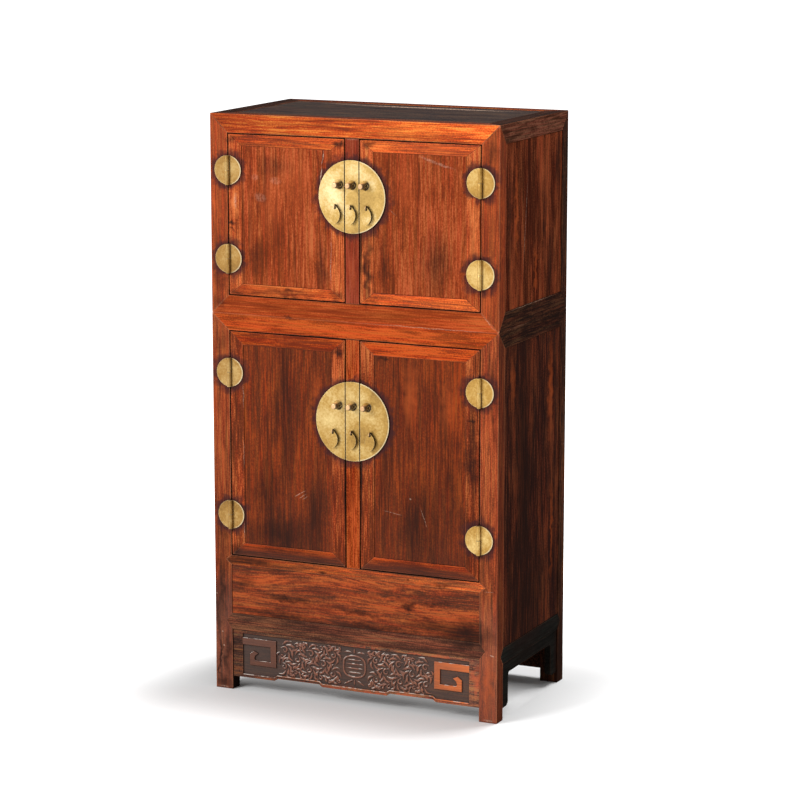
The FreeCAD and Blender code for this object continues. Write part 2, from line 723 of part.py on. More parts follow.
def lock_fittings(story, doorway):
    """A round plate in three, with a lock loop, a ring eye and a pull on each third."""
    level = (doorway[0] + doorway[1]) / 2 + size[f"{story}_plate_rise"]
    radius = size[f"{story}_plate_diameter"] / 2
    face = front - size["plate_thickness"]
    half = size["centre_stile"] / 2
    thirds = {"left": (-radius, -half - size["door_gap"]), "centre": (-half, half)}
    loop_z = level + size[f"{story}_loop_rise"]
    eye_z = level - size[f"{story}_eye_drop"]
    for third, x in thirds.items():
        name = f"{story}_{third}"
        disc = cylinder(f"{name}_disc", "y", (ZERO, face, level), radius, size["plate_thickness"])
        strip = box(f"{name}_strip", x, (face, front), (level - radius, level + radius))
        plate = common(f"{name}_plate", disc, strip)
        loop_x = ZERO
        eye_x = ZERO
        if third == "left":
            loop_x = -size[f"{story}_loop_spread"]
            eye_x = -size[f"{story}_eye_spread"]
        loop = lock_loop(f"{name}_loop", loop_x, loop_z)
        eye = ring_eye(f"{name}_eye", eye_x, eye_z)
        pull = drop_pull(f"{name}_leaf", eye_x, eye_z)
        if third == "left":
            both_sides(story + "_{}_door_lock_fittings", plate, loop, eye)
            both_sides(story + "_{}_pull", pull)
        else:
            sub_part(f"{story}_stile_lock_fittings", plate, loop, eye)
            sub_part(f"{story}_centre_pull", pull)


for story, doorway in (("upper", UPPER_DOORWAY), ("lower", LOWER_DOORWAY)):
    door(story, doorway, size[f"{story}_door_rail"])
    hinges(story, doorway, size[f"{story}_hinge_inset"])
    lock_fittings(story, doorway)

doc.recompute()

failed = [item.Label for item in doc.Objects if "Invalid" in item.State or "Error" in item.State]
unsound = [item.Label for item in sub_parts if item.Shape.isNull() or not item.Shape.isValid()]
if failed or unsound:
    raise RuntimeError(f"failed objects {failed}, unsound sub-parts {unsound}")

os.makedirs("parts", exist_ok=True)
for item in sub_parts:
    item.Shape.exportStep(os.path.join("parts", f"{item.Label}.step"))
    solids = item.Shape.Solids
    print(f"{item.Label}: {len(solids)} solids, {item.Shape.Volume / 1000:.1f} cm3")
print(f"{len(sub_parts)} sub-parts")
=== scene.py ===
# %% [markdown]
# # A compound cabinet
# A small cupboard stands on a tall one. Both are made of dark red hardwood, with framed doors, round
# brass hinges and round brass lock plates. The construction comes ready-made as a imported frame: every
# board, pin and plate is already in its place, in metres. This lesson gives the pieces their surfaces,
# softens their edges, carves the apron, and sets up the light and the camera.

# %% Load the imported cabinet
import math

import bmesh
import bpy
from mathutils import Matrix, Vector


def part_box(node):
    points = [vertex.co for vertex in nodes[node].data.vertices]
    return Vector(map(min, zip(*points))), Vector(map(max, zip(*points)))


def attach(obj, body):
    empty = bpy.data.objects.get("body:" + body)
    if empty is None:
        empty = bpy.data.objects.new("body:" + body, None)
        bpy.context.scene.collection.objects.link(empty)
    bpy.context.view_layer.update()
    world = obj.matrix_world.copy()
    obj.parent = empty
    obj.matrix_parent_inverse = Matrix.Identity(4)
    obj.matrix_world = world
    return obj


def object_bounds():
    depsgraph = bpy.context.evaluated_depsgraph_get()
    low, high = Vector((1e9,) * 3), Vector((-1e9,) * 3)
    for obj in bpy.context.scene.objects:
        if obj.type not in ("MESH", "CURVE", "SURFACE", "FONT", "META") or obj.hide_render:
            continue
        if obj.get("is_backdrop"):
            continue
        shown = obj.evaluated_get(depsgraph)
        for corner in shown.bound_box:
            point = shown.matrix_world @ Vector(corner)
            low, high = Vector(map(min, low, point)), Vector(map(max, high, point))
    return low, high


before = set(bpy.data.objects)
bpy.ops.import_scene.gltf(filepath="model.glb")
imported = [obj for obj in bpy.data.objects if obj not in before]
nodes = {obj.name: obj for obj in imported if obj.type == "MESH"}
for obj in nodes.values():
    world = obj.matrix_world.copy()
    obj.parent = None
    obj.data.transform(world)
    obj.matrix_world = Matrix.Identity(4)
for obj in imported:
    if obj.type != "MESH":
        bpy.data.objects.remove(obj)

MM = 0.001
cad_low, cad_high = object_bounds()
scene = bpy.context.scene
scene.view_settings.view_transform = "Standard"
print(len(nodes), "pieces,", [round(v, 3) for v in cad_high - cad_low], "m")

# %% [markdown]
# ## The camera
# The picture was taken from the right of the cabinet and a little above its middle, with a long lens, so
# that the uprights stay almost parallel. Azimuth, height and lens were found by matching the cabinet's
# corners, and the aim is turned by a few hundredths of a degree to put the cabinet at the right place in
# the frame.

# %% Set up the camera
LENS = 133.3
CAMERA_DISTANCE = 5.348
TURN = math.radians(24.96)
TILT = math.radians(10.89)
AIM_POINT = Vector((0, 10 * MM, 525 * MM))
AIM_RIGHT = 0.00331
AIM_UP = 0.00078

forward = Vector((-math.sin(TURN) * math.cos(TILT), math.cos(TURN) * math.cos(TILT), -math.sin(TILT)))
sideways = Vector((math.cos(TURN), math.sin(TURN), 0))
upward = sideways.cross(forward)

camera = bpy.data.objects.new("camera", bpy.data.cameras.new("camera"))
scene.collection.objects.link(camera)
camera.data.lens = LENS
camera.location = AIM_POINT - forward * CAMERA_DISTANCE
aim = forward + sideways * AIM_RIGHT + upward * AIM_UP
camera.rotation_euler = aim.to_track_quat("-Z", "Y").to_euler()
scene.camera = camera
print("camera at", [round(v, 3) for v in camera.location])

# %% [markdown]
# ## Small helpers for materials
# Colours are written as sRGB hex values, the way that a colour picker shows them, and the shaders read
# linear values, so one function converts them. Another adds a node, fills in its settings and makes its
# links. The few kinds of node that come up all the time get short names, which keeps each material
# readable from top to bottom.

# %% Colours, nodes and materials
def linear(code):
    """An sRGB hex value as the linear colour that a shader reads."""
    parts = [int(code[start:start + 2], 16) / 255 for start in (1, 3, 5)]
    return [c / 12.92 if c <= 0.04045 else ((c + 0.055) / 1.055) ** 2.4 for c in parts] + [1.0]


def fill(node, inputs):
    """Give a node's sockets their values, or link them to their sources."""
    for socket, source in inputs.items():
        if isinstance(source, bpy.types.NodeSocket):
            node.id_data.links.new(source, node.inputs[socket])
        else:
            node.inputs[socket].default_value = source


def add(tree, kind, inputs=None, **settings):
    """Add one node: settings are its own properties, inputs are values or sources for its sockets."""
    node = tree.nodes.new(kind)
    for name, value in settings.items():
        setattr(node, name, value)
    fill(node, inputs or {})
    return node


def follow(kind, inputs, **settings):
    """Add one node to the tree that its sources are in."""
    tree = next(source.id_data for source in inputs.values() if isinstance(source, bpy.types.NodeSocket))
    return add(tree, kind, inputs, **settings)


def new_material(name):
    """An empty node material and its principled shader."""
    material = bpy.data.materials.new(name)
    material.use_nodes = True
    shader = material.node_tree.nodes["Principled BSDF"]
    return material, material.node_tree, shader


print("nodes ready")

# %% Short names for numbers and vectors
def maths(operation, *values, **settings):
    """The result of arithmetic on numbers, such as MULTIPLY or POWER."""
    return follow("ShaderNodeMath", dict(enumerate(values)), operation=operation, **settings).outputs[0]


def times(first, second):
    """The product of two numbers."""
    return maths("MULTIPLY", first, second)


def larger(first, second):
    """The larger of two numbers; the first one may be missing."""
    return second if first is None else maths("MAXIMUM", first, second)


def ranged(value, start, end, low=0.0, high=1.0, **settings):
    """A number that goes from low to high while a value goes from start to end, and no further."""
    inputs = {0: value, 1: start, 2: end, 3: low, 4: high}
    return follow("ShaderNodeMapRange", inputs, **settings).outputs[0]


def vector_maths(operation, *values):
    """The result of arithmetic on vectors, which is one number for some operations."""
    node = follow("ShaderNodeVectorMath", dict(enumerate(values)), operation=operation)
    return node.outputs["Value" if operation in ("LENGTH", "DISTANCE", "DOT_PRODUCT") else "Vector"]


def axes_of(vector):
    """The three parts of a vector, named X, Y and Z."""
    return follow("ShaderNodeSeparateXYZ", {0: vector}).outputs


print("arithmetic ready")

# %% Short names for textures and colours
def noise(place, waves, detail, output=0, **inputs):
    """A noise with so many waves in a metre; its output is a number, or else the one named Color."""
    inputs |= {"Vector": place, "Scale": waves, "Detail": detail}
    return follow("ShaderNodeTexNoise", inputs).outputs[output]


def openness(tree, distance, samples, **settings):
    """1 where nothing is near within a distance, and less in a corner."""
    node = add(tree, "ShaderNodeAmbientOcclusion", {"Distance": distance}, samples=samples, **settings)
    return node.outputs["AO"]


def blended(factor, first, second, kind="MIX"):
    """Two colours mixed by a factor."""
    inputs = {0: factor, 6: first, 7: second}
    return follow("ShaderNodeMix", inputs, data_type="RGBA", blend_type=kind).outputs[2]


def ramped(tone, deep, body, glow):
    """The colour for a tone, from deep at 0 over body at 0.5 to glow at 1."""
    ramp = follow("ShaderNodeValToRGB", {0: tone})
    stops = ramp.color_ramp.elements
    stops[0].color = linear(deep)
    stops[1].color = linear(glow)
    stops.new(0.5).color = linear(body)
    return ramp.outputs["Color"]


def bumped(height, strength, distance):
    """The direction of a surface with a fine relief."""
    inputs = {"Strength": strength, "Distance": distance, "Height": height}
    return follow("ShaderNodeBump", inputs).outputs[0]


print("textures ready")

# %% [markdown]
# ## Floor, backdrop and light
# The cabinet stands on white, with a soft shadow in front of its feet. A white floor that is lit until it
# is white would throw too much light back at the wood, so the floor is a middle grey for the light that
# it throws back, and pale only for the camera and for reflections, where it is also lifted to white
# further off and to a pale grey under the cabinet. Its shadow stays. A large soft lamp in front, to the
# left, lights the doors, the right side stays dark, and a lamp above and behind draws the shadow.

# %% White surroundings
DOME_LIGHT = 0.40
WHITE = (1, 1, 1, 1)


def seen_by_eye(tree):
    """1 for what the camera sees directly or in a reflection, 0 for the light that falls on the cabinet."""
    rays = add(tree, "ShaderNodeLightPath").outputs
    seen = maths("MAXIMUM", rays["Is Camera Ray"], rays["Is Glossy Ray"])
    return maths("MAXIMUM", seen, rays["Is Transmission Ray"])


world = bpy.data.worlds.new("studio")
world.use_nodes = True
scene.world = world
tree = world.node_tree
strength = ranged(seen_by_eye(tree), 0.0, 1.0, DOME_LIGHT, 1.0)
fill(tree.nodes["Background"], {"Color": WHITE, "Strength": strength})
print("surroundings ready")

# %% The floor
FLOOR_SIZE = 60.0
FLOOR_BOUNCE = 0.5
FLOOR_SEEN = 0.9
LIFT_UNDER = 0.46
LIFT_FAR = 1.0
FOOTPRINT = (cad_high.x, cad_high.y, 0)
SHADOW_REACH = 0.38
UNDER_SIDE = 0.03
UNDER_FRONT = (0.05, 0.15)

floor_material, tree, shader = new_material("studio_floor")
tree.nodes.remove(shader)
seen = seen_by_eye(tree)
paint = add(tree, "ShaderNodeBsdfDiffuse", {"Color": ranged(seen, 0.0, 1.0, FLOOR_BOUNCE, FLOOR_SEEN)})
spot = vector_maths("ABSOLUTE", add(tree, "ShaderNodeTexCoord").outputs["Object"])
spot = vector_maths("SUBTRACT", spot, FOOTPRINT)
sides = axes_of(spot)
under = ranged(sides["X"], 0.0, -UNDER_SIDE, 0.0, LIFT_UNDER)
under = times(under, ranged(sides["Y"], -UNDER_FRONT[0], -UNDER_FRONT[1]))
reach = vector_maths("LENGTH", vector_maths("MAXIMUM", spot, (0, 0, 0)))
lift = ranged(reach, 0.0, SHADOW_REACH, 0.0, LIFT_FAR, interpolation_type="SMOOTHSTEP")
lift = times(seen, maths("ADD", lift, under))
glow = add(tree, "ShaderNodeEmission", {"Color": WHITE, "Strength": lift})
both = add(tree, "ShaderNodeAddShader", {0: paint.outputs[0], 1: glow.outputs[0]})
fill(tree.nodes["Material Output"], {"Surface": both.outputs[0]})

mesh = bmesh.new()
bmesh.ops.create_grid(mesh, x_segments=1, y_segments=1, size=FLOOR_SIZE / 2)
floor_data = bpy.data.meshes.new("studio_floor")
mesh.to_mesh(floor_data)
mesh.free()
floor = bpy.data.objects.new("studio_floor", floor_data)
floor.data.materials.append(floor_material)
scene.collection.objects.link(floor)
floor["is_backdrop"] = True
print("floor ready")

# %% The lamps
def lamp(name, place, target, size, power):
    """A square soft lamp that points at a target."""
    light = bpy.data.lights.new(name, "AREA")
    light.size = size
    light.energy = power
    holder = bpy.data.objects.new(name, light)
    holder.location = place
    holder.rotation_euler = (Vector(target) - Vector(place)).to_track_quat("-Z", "Y").to_euler()
    scene.collection.objects.link(holder)
    print(name, "of", power, "watts")


lamp("key_lamp", place=(-2.2, -3.4, 2.6), target=(0, 0, 0.6), size=1.8, power=150)
lamp("top_lamp", place=(0.9, 1.5, 2.9), target=(0, 0, 0.3), size=1.6, power=80)

# %% [markdown]
# ## Which board gets which finish
# No two boards are alike. The rails and posts of the upper case are the most orange, the doors are
# redder, the lower doors and the sides are darker, and the top is nearly black. So nearly every kind of
# board has a finish of its own, which is found by the words in the node's name.

# %% Finishes by name
# The first words that a node's name holds decide its finish
FINISH_WORDS = [
    ("hinge", "hinge_brass"), ("lock_fittings", "lock_brass"), ("pull", "lock_brass"),
    ("belly_floor", "bare"), ("upper_floor", "bare"), ("inner_shelf", "bare"), ("belly_lid", "bare"),
    ("bearers", "bare"), ("back_posts", "back_post"), ("back_panel", "back_panel"),
    ("back_apron", "middle_end"), ("upper_front_posts", "upper_post"), ("lower_front_posts", "lower_post"),
    ("upper_top_rails", "top_rail"), ("upper_top_end", "upper_end"), ("top_panel", "top_panel"),
    ("upper_bottom_rails", "upper_bottom_rail"), ("lower_top_rails", "lower_top_rail"),
    ("end_rails", "middle_end"), ("bottom_side_rails", "low_end"), ("side_aprons", "low_end"),
    ("bottom_rails", "bottom_rail"), ("upper_side", "upper_side"), ("lower_side", "lower_side"),
    ("sill", "sill"), ("belly_panel", "belly"), ("front_apron", "apron"),
    ("upper_centre_stile", "upper_stile"), ("lower_centre_stile", "lower_stile"),
]
for story in ("upper", "lower"):
    for hand in ("left", "right"):
        door = f"{story}_{hand}_door"
        FINISH_WORDS += [(f"{door}_{part}s", f"{story}_door_{part}") for part in ("rail", "stile")]
        FINISH_WORDS.append((f"{door}_panel", f"{story}_panel"))


def finish_of(name):
    """The finish that suits a node, from its name."""
    return next(finish for words, finish in FINISH_WORDS if words in name)


print(len(FINISH_WORDS), "names of boards and fittings")

# %% The boards of each finish
SAME_CORNER = 0.01 * MM


def board_boxes(piece):
    """The boxes of the separate boards that a node holds, such as the two posts of one pair."""
    mesh = bmesh.new()
    mesh.from_mesh(piece.data)
    bmesh.ops.remove_doubles(mesh, verts=mesh.verts, dist=SAME_CORNER)
    unseen = set(mesh.verts)
    boxes = []
    while unseen:
        waiting = [unseen.pop()]
        corners = []
        while waiting:
            corner = waiting.pop()
            corners.append(corner.co)
            joined = {edge.other_vert(corner) for edge in corner.link_edges} & unseen
            unseen -= joined
            waiting += joined
        columns = list(zip(*corners))
        boxes.append([Vector(pick(column) for column in columns) for pick in (min, max)])
    mesh.free()
    return boxes


boards = {}
for name, piece in nodes.items():
    boards.setdefault(finish_of(name), []).extend(board_boxes(piece))
print(len(boards), "finishes for", sum(len(boxes) for boxes in boards.values()), "separate boards")

# %% [markdown]
# ## Traces of use
# The front has a history. The wood round every brass plate is stained dark, because polish for the brass
# was rubbed into it for years. There are knots and dark smudges, a crack beside a door panel, scratches,
# and pale dust in some seams. Some orange patches are painted highlights, the black of the open seams is
# partly painted shade, and a pale line in a seam of the top is partly a painted reflection. Each trace has
# its own place on this cabinet, so it can't come out of a noise: the material measures how far a point of
# the wood is from each of them. A board's material gets only the traces that lie on that board. The places
# of the plates are read from the imported pieces.

# %% Where the brass is
# A spot is the place of a plate's middle across and up, and its radius
HINGE_RADIUS = 26 * MM
spots = []
for story in ("upper", "lower"):
    low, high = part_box(story + "_stile_lock_fittings")
    spots.append((0, (low.z + high.z) / 2, (high.z - low.z) / 2))
    low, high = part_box(story + "_post_hinges")
    hinge_across = high.x - HINGE_RADIUS
    for level in (low.z + HINGE_RADIUS, high.z - HINGE_RADIUS):
        spots += [(hand * hinge_across, level, HINGE_RADIUS) for hand in (1, -1)]
print(len(spots), "brass plates")

# %% Dark traces, each at its own place
# A trace is its place across and up in mm, half its length and width in mm, its slope in degrees, which leads
# down to the right on the front, and its strength
DARK_TRACES = {
    "front": [
        # Knots and bars of dark grain on the door frames
        (-235, 856, 10, 5, 0, 0.8), (-234, 845, 9, 3, 0, 0.5), (227, 539, 12, 5, 0, 0.8),
        (227, 519, 12, 3.5, 0, 0.6), (229, 470, 120, 16, 90, 0.55), (229, 330, 60, 14, 90, 0.5),
        # Smudges at the mitres of the doors and of the frame
        (-24, 1003, 11, 9, 0, 0.75), (32, 1005, 14, 11, 0, 0.6), (-27, 640, 14, 11, 0, 0.75),
        (60, 633, 16, 6, 0, 0.55), (-236, 1003, 12, 10, 0, 0.5), (-228, 735, 18, 9, 0, 0.45),
        (-30, 738, 16, 12, 0, 0.45), (34, 736, 18, 9, 0, 0.35), (-236, 262, 14, 14, 0, 0.5),
        (-264, 715, 16, 24, 0, 0.4), (262, 1000, 16, 30, 0, 0.35), (-262, 640, 16, 26, 0, 0.35),
        (-262, 748, 24, 16, 90, 0.4), (-130, 738, 100, 9, 0, 0.5),
        # Knots in the middle rail, the sill and the belly panel
        (-125, 691, 17, 4, 0, 0.5), (-60, 240, 11, 4, 0, 0.8), (107, 193, 17, 8, 0, 0.85),
        (168, 239, 14, 4, 0, 0.8), (104, 243, 6, 4, 0, 0.7), (215, 156, 70, 30, 0, 0.95),
        (-128, 181, 60, 7, 4, 0.55), (10, 170, 60, 5, 3, 0.45), (-150, 148, 110, 12, 2, 0.55),
        (160, 205, 60, 6, -4, 0.4), (40, 147, 90, 8, 0, 0.5), (-200, 240, 40, 6, 0, 0.4),
        (165, 163, 80, 18, -3, 0.6), (-215, 205, 22, 26, 0, 0.35),
        # Dark heartwood in the door panels and stiles
        (-133, 517, 150, 26, 90, 0.4), (-150, 300, 80, 44, 0, 0.6), (-75, 330, 90, 30, 90, 0.35),
        (130, 350, 110, 48, 90, 0.5), (190, 420, 130, 20, 90, 0.35), (28, 790, 80, 12, 90, 0.75),
        (45, 900, 70, 22, 90, 0.4), (60, 800, 70, 14, 90, 0.35), (-60, 790, 70, 14, 90, 0.45),
        (-190, 800, 40, 20, 90, 0.3), (-150, 960, 40, 26, 0, 0.3), (160, 805, 70, 36, 90, 0.42),
        (-170, 370, 80, 36, 90, 0.5), (0, 632, 30, 14, 90, 0.15),
        # The left leg and post
        (-269, 56, 48, 4, 90, 0.8), (-263, 190, 80, 14, 90, 0.5), (-262, 290, 60, 14, 90, 0.3),
        (-254, 70, 60, 9, 90, 0.55), (-273, 150, 70, 6, 90, 0.5), (-262, 14, 20, 10, 0, 0.5),
    ],
    "side": [
        (-30, 430, 320, 45, 90, 0.75), (-100, 880, 130, 14, 90, 0.5), (60, 850, 110, 12, 90, 0.5),
        (-20, 200, 130, 110, 90, 0.65), (120, 960, 70, 20, 90, 0.5), (90, 780, 90, 26, 90, 0.4),
        (152, 50, 90, 30, 90, 0.97), (-90, 230, 120, 30, 90, 0.45),
    ],
}
# The open seams round the doors and at the upper mitres, black with dirt and with painted shade in the gaps
SEAMS = {
    "front": [
        (0, 1016.5, 244, 1.6, 0, 0.9), (-243.5, 872, 145, 1.4, 90, 0.85), (243.5, 872, 145, 1.3, 90, 0.8),
        (16.6, 871, 145, 2.8, 90, 0.97), (-15.4, 871, 145, 1.0, 90, 0.6), (0, 727, 244, 1.0, 0, 0.6),
        (0, 664, 244, 1.6, 0, 0.85), (-243.5, 458, 206, 1.5, 90, 0.85), (243.5, 458, 206, 1.5, 90, 0.85),
        (16.6, 458, 206, 2.4, 90, 0.95), (-15.8, 458, 206, 2.0, 90, 0.9), (120, 251.5, 124, 1.6, 0, 0.85),
        (-120, 251.5, 124, 0.9, 0, 0.5), (-261, 1033, 23, 1.1, 45, 0.7), (261, 1033, 23, 1.1, -45, 0.6),
    ],
}
print(len(DARK_TRACES["front"]), "dark traces and", len(SEAMS["front"]), "seams on the front")

# %% Warm and pale traces
# Places where the dark wax has worn through to orange wood, and painted highlights where the boards catch the
# light
WORN_AND_LIT_TRACES = {
    "front": [
        # The frame and the doors of the upper case
        (-231, 892, 30, 10, 90, 1.0), (230, 865, 70, 10, 90, 0.6), (150, 1006, 70, 9, 0, 0.4),
        (110, 1034, 120, 14, 0, 0.4), (-26, 800, 50, 7, 90, 0.15), (0, 780, 40, 9, 90, 0.2),
        (-110, 940, 60, 40, 90, 0.25), (-160, 890, 70, 26, 90, 0.3), (100, 940, 60, 22, 90, 0.25),
        (-262, 880, 60, 8, 90, 0.3),
        # The middle rails and the doors of the lower case
        (0, 340, 80, 9, 90, 0.45), (110, 570, 70, 20, 90, 0.5), (180, 560, 60, 16, 90, 0.3),
        (-70, 560, 60, 12, 90, 0.3), (262, 560, 90, 10, 90, 0.25), (-130, 654, 60, 6, 0, 0.2),
        (130, 652, 70, 8, 0, 0.35), (-120, 680, 110, 10, 0, 0.2), (150, 680, 80, 10, 0, 0.25),
        # The sill, the belly, the apron and the right leg
        (130, 240, 70, 6, 0, 0.4), (60, 205, 90, 7, 2, 0.4), (-150, 212, 60, 7, -3, 0.3),
        (236, 72, 40, 9, 90, 0.8), (150, 109, 90, 4, 0, 0.8), (30, 109, 60, 3, 0, 0.5),
        (60, 27, 190, 6, 0, 0.85), (262, 70, 66, 13, 90, 0.5), (-150, 27, 60, 4, 0, 0.4),
    ],
    "side": [
        (95, 560, 110, 14, 90, 0.4), (-80, 600, 60, 14, 90, 0.25), (-70, 900, 110, 9, 90, 0.5),
        (20, 780, 60, 8, 90, 0.4), (105, 300, 110, 8, 90, 0.35), (-135, 870, 130, 5, 90, 0.4),
    ],
}
PALE_TRACES = {
    "front": [
        # The crack and the open seam beside the upper left panel
        (-56.8, 980, 15, 1.2, 98, 0.8), (-60.2, 950, 16, 1.2, 96, 0.8), (-41.6, 808, 56, 1.0, 92, 0.55),
        # Scuffs and scratches on the doors
        (160, 981, 38, 3.0, 16, 0.3), (77, 891, 9, 1.4, 40, 0.3), (-229, 896, 16, 4, 90, 0.4),
        (-105.6, 378, 15, 0.9, -27, 0.6), (-100, 374, 10, 0.8, -30, 0.5), (-96, 371, 7, 0.8, -30, 0.45),
        (78, 360, 21, 0.8, 9, 0.4), (137, 356, 23, 0.8, 68, 0.35), (111, 388, 3, 2, 30, 0.4),
        (-180, 905, 14, 9, 20, 0.16), (-150, 935, 14, 8, 10, 0.14), (-190, 940, 8, 6, 0, 0.14),
        # Dust in the seams of the lower left door and along the parting of the two cases
        (-217, 545, 24, 1.0, 90, 0.5), (-217, 440, 30, 0.8, 90, 0.4), (-217, 300, 16, 1.0, 90, 0.5),
        (150, 694, 118, 0.9, 0, 0.45), (258, 712, 21, 0.9, 47, 0.5), (263, 236, 10, 0.9, 0, 0.4),
        # The worn edge of the upper centre stile
        (13.6, 1000, 14, 1.1, 90, 0.6), (0, 1014, 14, 0.8, 0, 0.3),
        # Chips on the posts
        (268, 122, 5, 1.6, 15, 0.9), (-275, 177, 1.8, 1.8, 0, 1.0), (-265, 106, 1.6, 1.6, 0, 1.0),
        (-262, 80.5, 1.6, 1.6, 0, 1.0), (262, 4, 12, 2.0, 0, 0.5), (-262, 4, 10, 1.6, 0, 0.4),
    ],
    # A long scratch, and the dusty seams of the end rails
    "side": [(-28, 874, 90, 0.8, 97, 0.55), (0, 726, 120, 0.8, 0, 0.25), (-60, 694, 60, 0.8, 0, 0.2)],
    # Dust and a painted reflection along the seam in front of the back rail
    "top": [(40, 104, 180, 6.5, 0, 0.9), (-140, 115, 50, 4, 0, 0.5)],
}
print(len(WORN_AND_LIT_TRACES["front"]), "warm and", len(PALE_TRACES["front"]), "pale traces on the front")

# %% Find the traces of a board
# A face of the cabinet: its axes across, up and into the depth, where it lies and which way is inwards
FRONT_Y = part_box("upper_front_posts")[0].y
FACES = {
    "front": (0, 2, 1, FRONT_Y, 1),
    "side": (1, 2, 0, cad_high.x, -1),
    "top": (0, 1, 2, cad_high.z, -1),
}
FACE_DEPTH = 4 * MM
FADE_DEPTH = 5 * MM


def lies_on(face, across, up, reach_across, reach_up, finish):
    """True if a patch of one face of the cabinet touches a board with the finish."""
    first, second, depth, level, inward = FACES[face]
    for low, high in boards[finish]:
        surface = low[depth] if inward > 0 else high[depth]
        near = abs(surface - level) < FACE_DEPTH + FADE_DEPTH
        beside = low[first] - reach_across < across < high[first] + reach_across
        level_with = low[second] - reach_up < up < high[second] + reach_up
        if near and beside and level_with:
            return True
    return False


def on_face(here, face):
    """1 on one face of the cabinet, 0 behind it."""
    depth, level, inward = FACES[face][2:]
    start = level + inward * FACE_DEPTH
    return ranged(axes_of(here)[depth], start, start + inward * FADE_DEPTH, 1.0, 0.0)


print(len(FACES), "faces with traces")

# %% Draw the traces of a board
RIPPLES = 60
FAR = 1000


def trace_frame(face, across, up, half_length, half_width, turn):
    """Place, turn and size of a trace on one face, as a mapping needs them."""
    if face == "front":
        return (across, 0, up), (0, turn, 0), (half_length, FAR, half_width)
    if face == "side":
        return (0, across, up), (-turn, 0, 0), (FAR, half_length, half_width)
    return (across, up, 0), (0, 0, turn), (half_length, half_width, FAR)


def marks(here, faces, finish, core, wander):
    """The strongest trace at a point, or None for a board without any. Core is the share of a trace that has
    its full strength, and wander makes the outlines uneven."""
    ripple = vector_maths("SUBTRACT", noise(here, RIPPLES, 2, "Color"), (0.5, 0.5, 0.5))
    uneven = vector_maths("MULTIPLY_ADD", ripple, (wander, wander, wander), here)
    total = None
    for face, traces in faces.items():
        strongest = None
        for *placing, slope, strength in traces:
            across, up, half_length, half_width = (value * MM for value in placing)
            turn = math.radians(slope)
            reach_across = abs(half_length * math.cos(turn)) + abs(half_width * math.sin(turn))
            reach_up = abs(half_length * math.sin(turn)) + abs(half_width * math.cos(turn))
            if not lies_on(face, across, up, reach_across, reach_up, finish):
                continue
            where, rotation, extent = trace_frame(face, across, up, half_length, half_width, turn)
            inputs = {"Vector": uneven, "Location": where, "Rotation": rotation, "Scale": extent}
            own = follow("ShaderNodeMapping", inputs, vector_type="TEXTURE").outputs[0]
            mark = ranged(vector_maths("LENGTH", own), 1.0, core, 0.0, strength)
            strongest = larger(strongest, mark)
        if strongest is not None:
            total = larger(total, times(strongest, on_face(here, face)))
    return total


print("traces ready")

# %% The stain round the brass
STAIN_CLOUDS = 70
STAIN_REACH = (5 * MM, 26 * MM)


def from_brass(here, finish):
    """The distance from the nearest brass rim, negative inside it, or None for a board far from any."""
    flat = vector_maths("MULTIPLY", here, (1, 0, 1))
    nearest = None
    for across, up, radius in spots:
        reach = radius + STAIN_REACH[1]
        if not lies_on("front", across, up, reach, reach, finish):
            continue
        away = vector_maths("DISTANCE", flat, (across, 0, up))
        away = maths("SUBTRACT", away, radius)
        nearest = away if nearest is None else maths("MINIMUM", away, nearest)
    return nearest


def brass_stain(here, finish):
    """The dark halo round the brass, wider in some places, or None for a board far from any brass."""
    away = from_brass(here, finish)
    if away is None:
        return None
    reach = ranged(noise(here, STAIN_CLOUDS, 3), 0.32, 0.68, *STAIN_REACH)
    fade = maths("DIVIDE", away, reach)
    stain = ranged(fade, 0.0, 1.0, 1.0, 0.0, interpolation_type="SMOOTHSTEP")
    return times(stain, on_face(here, "front"))


print("stains ready")

# %% [markdown]
# ## Rosewood
# The boards are a dense red hardwood of the rosewood kind, planed, scraped and waxed many times. Close
# to, it has a fine straight grain of dark and orange streaks; from further off the streaks gather into
# bands, and old wax and dust darken the corners while hands have worn the edges pale. The corners also
# carry painted shade and the edges painted highlights. Each of those is one layer of noise, stretched
# along the grain, at its own real width. A photograph could not be used for it, and plain colour would
# look like plastic, so the layers are mixed in the material.

# %% The grain
GRAIN = {"x": (1, 0, 0), "y": (0, 1, 0), "z": (0, 0, 1)}
# Clouds about 70 mm wide, bands 25 mm, streaks 4 mm, fibres and short flecks 2 mm. Real fibres are finer
# than that, but would not show from the camera's distance. A layer is its stretch along the grain, its waves
# in a metre, its share of the tone and whether it drifts with the grain.
LAYERS = {
    "cloud": (0.4, 14, 0.65, False),
    "band": (0.1, 40, 0.5, True),
    "streak": (0.06, 230, 0.65, True),
    "fibre": (0.05, 460, 1.15, True),
    "fleck": (0.7, 480, 0.8, False),
}
DRIFT_STRETCH = 0.3
DRIFT_WAVES = 9
LONG_STRETCH = 0.025
HUE_WAVES = 300
REDDER = (1.02, 0.84, 0.84, 1)
BROWNER = (0.97, 1.16, 1.12, 1)
VEIN_WAVES = 95
VEIN_SHADE = 0.6


def stretched(place, grain, along):
    """Coordinates in which a noise of one size becomes streaks along the grain."""
    scale = [along if part else 1.0 for part in GRAIN[grain]]
    return follow("ShaderNodeMapping", {"Vector": place, "Scale": scale}).outputs[0]


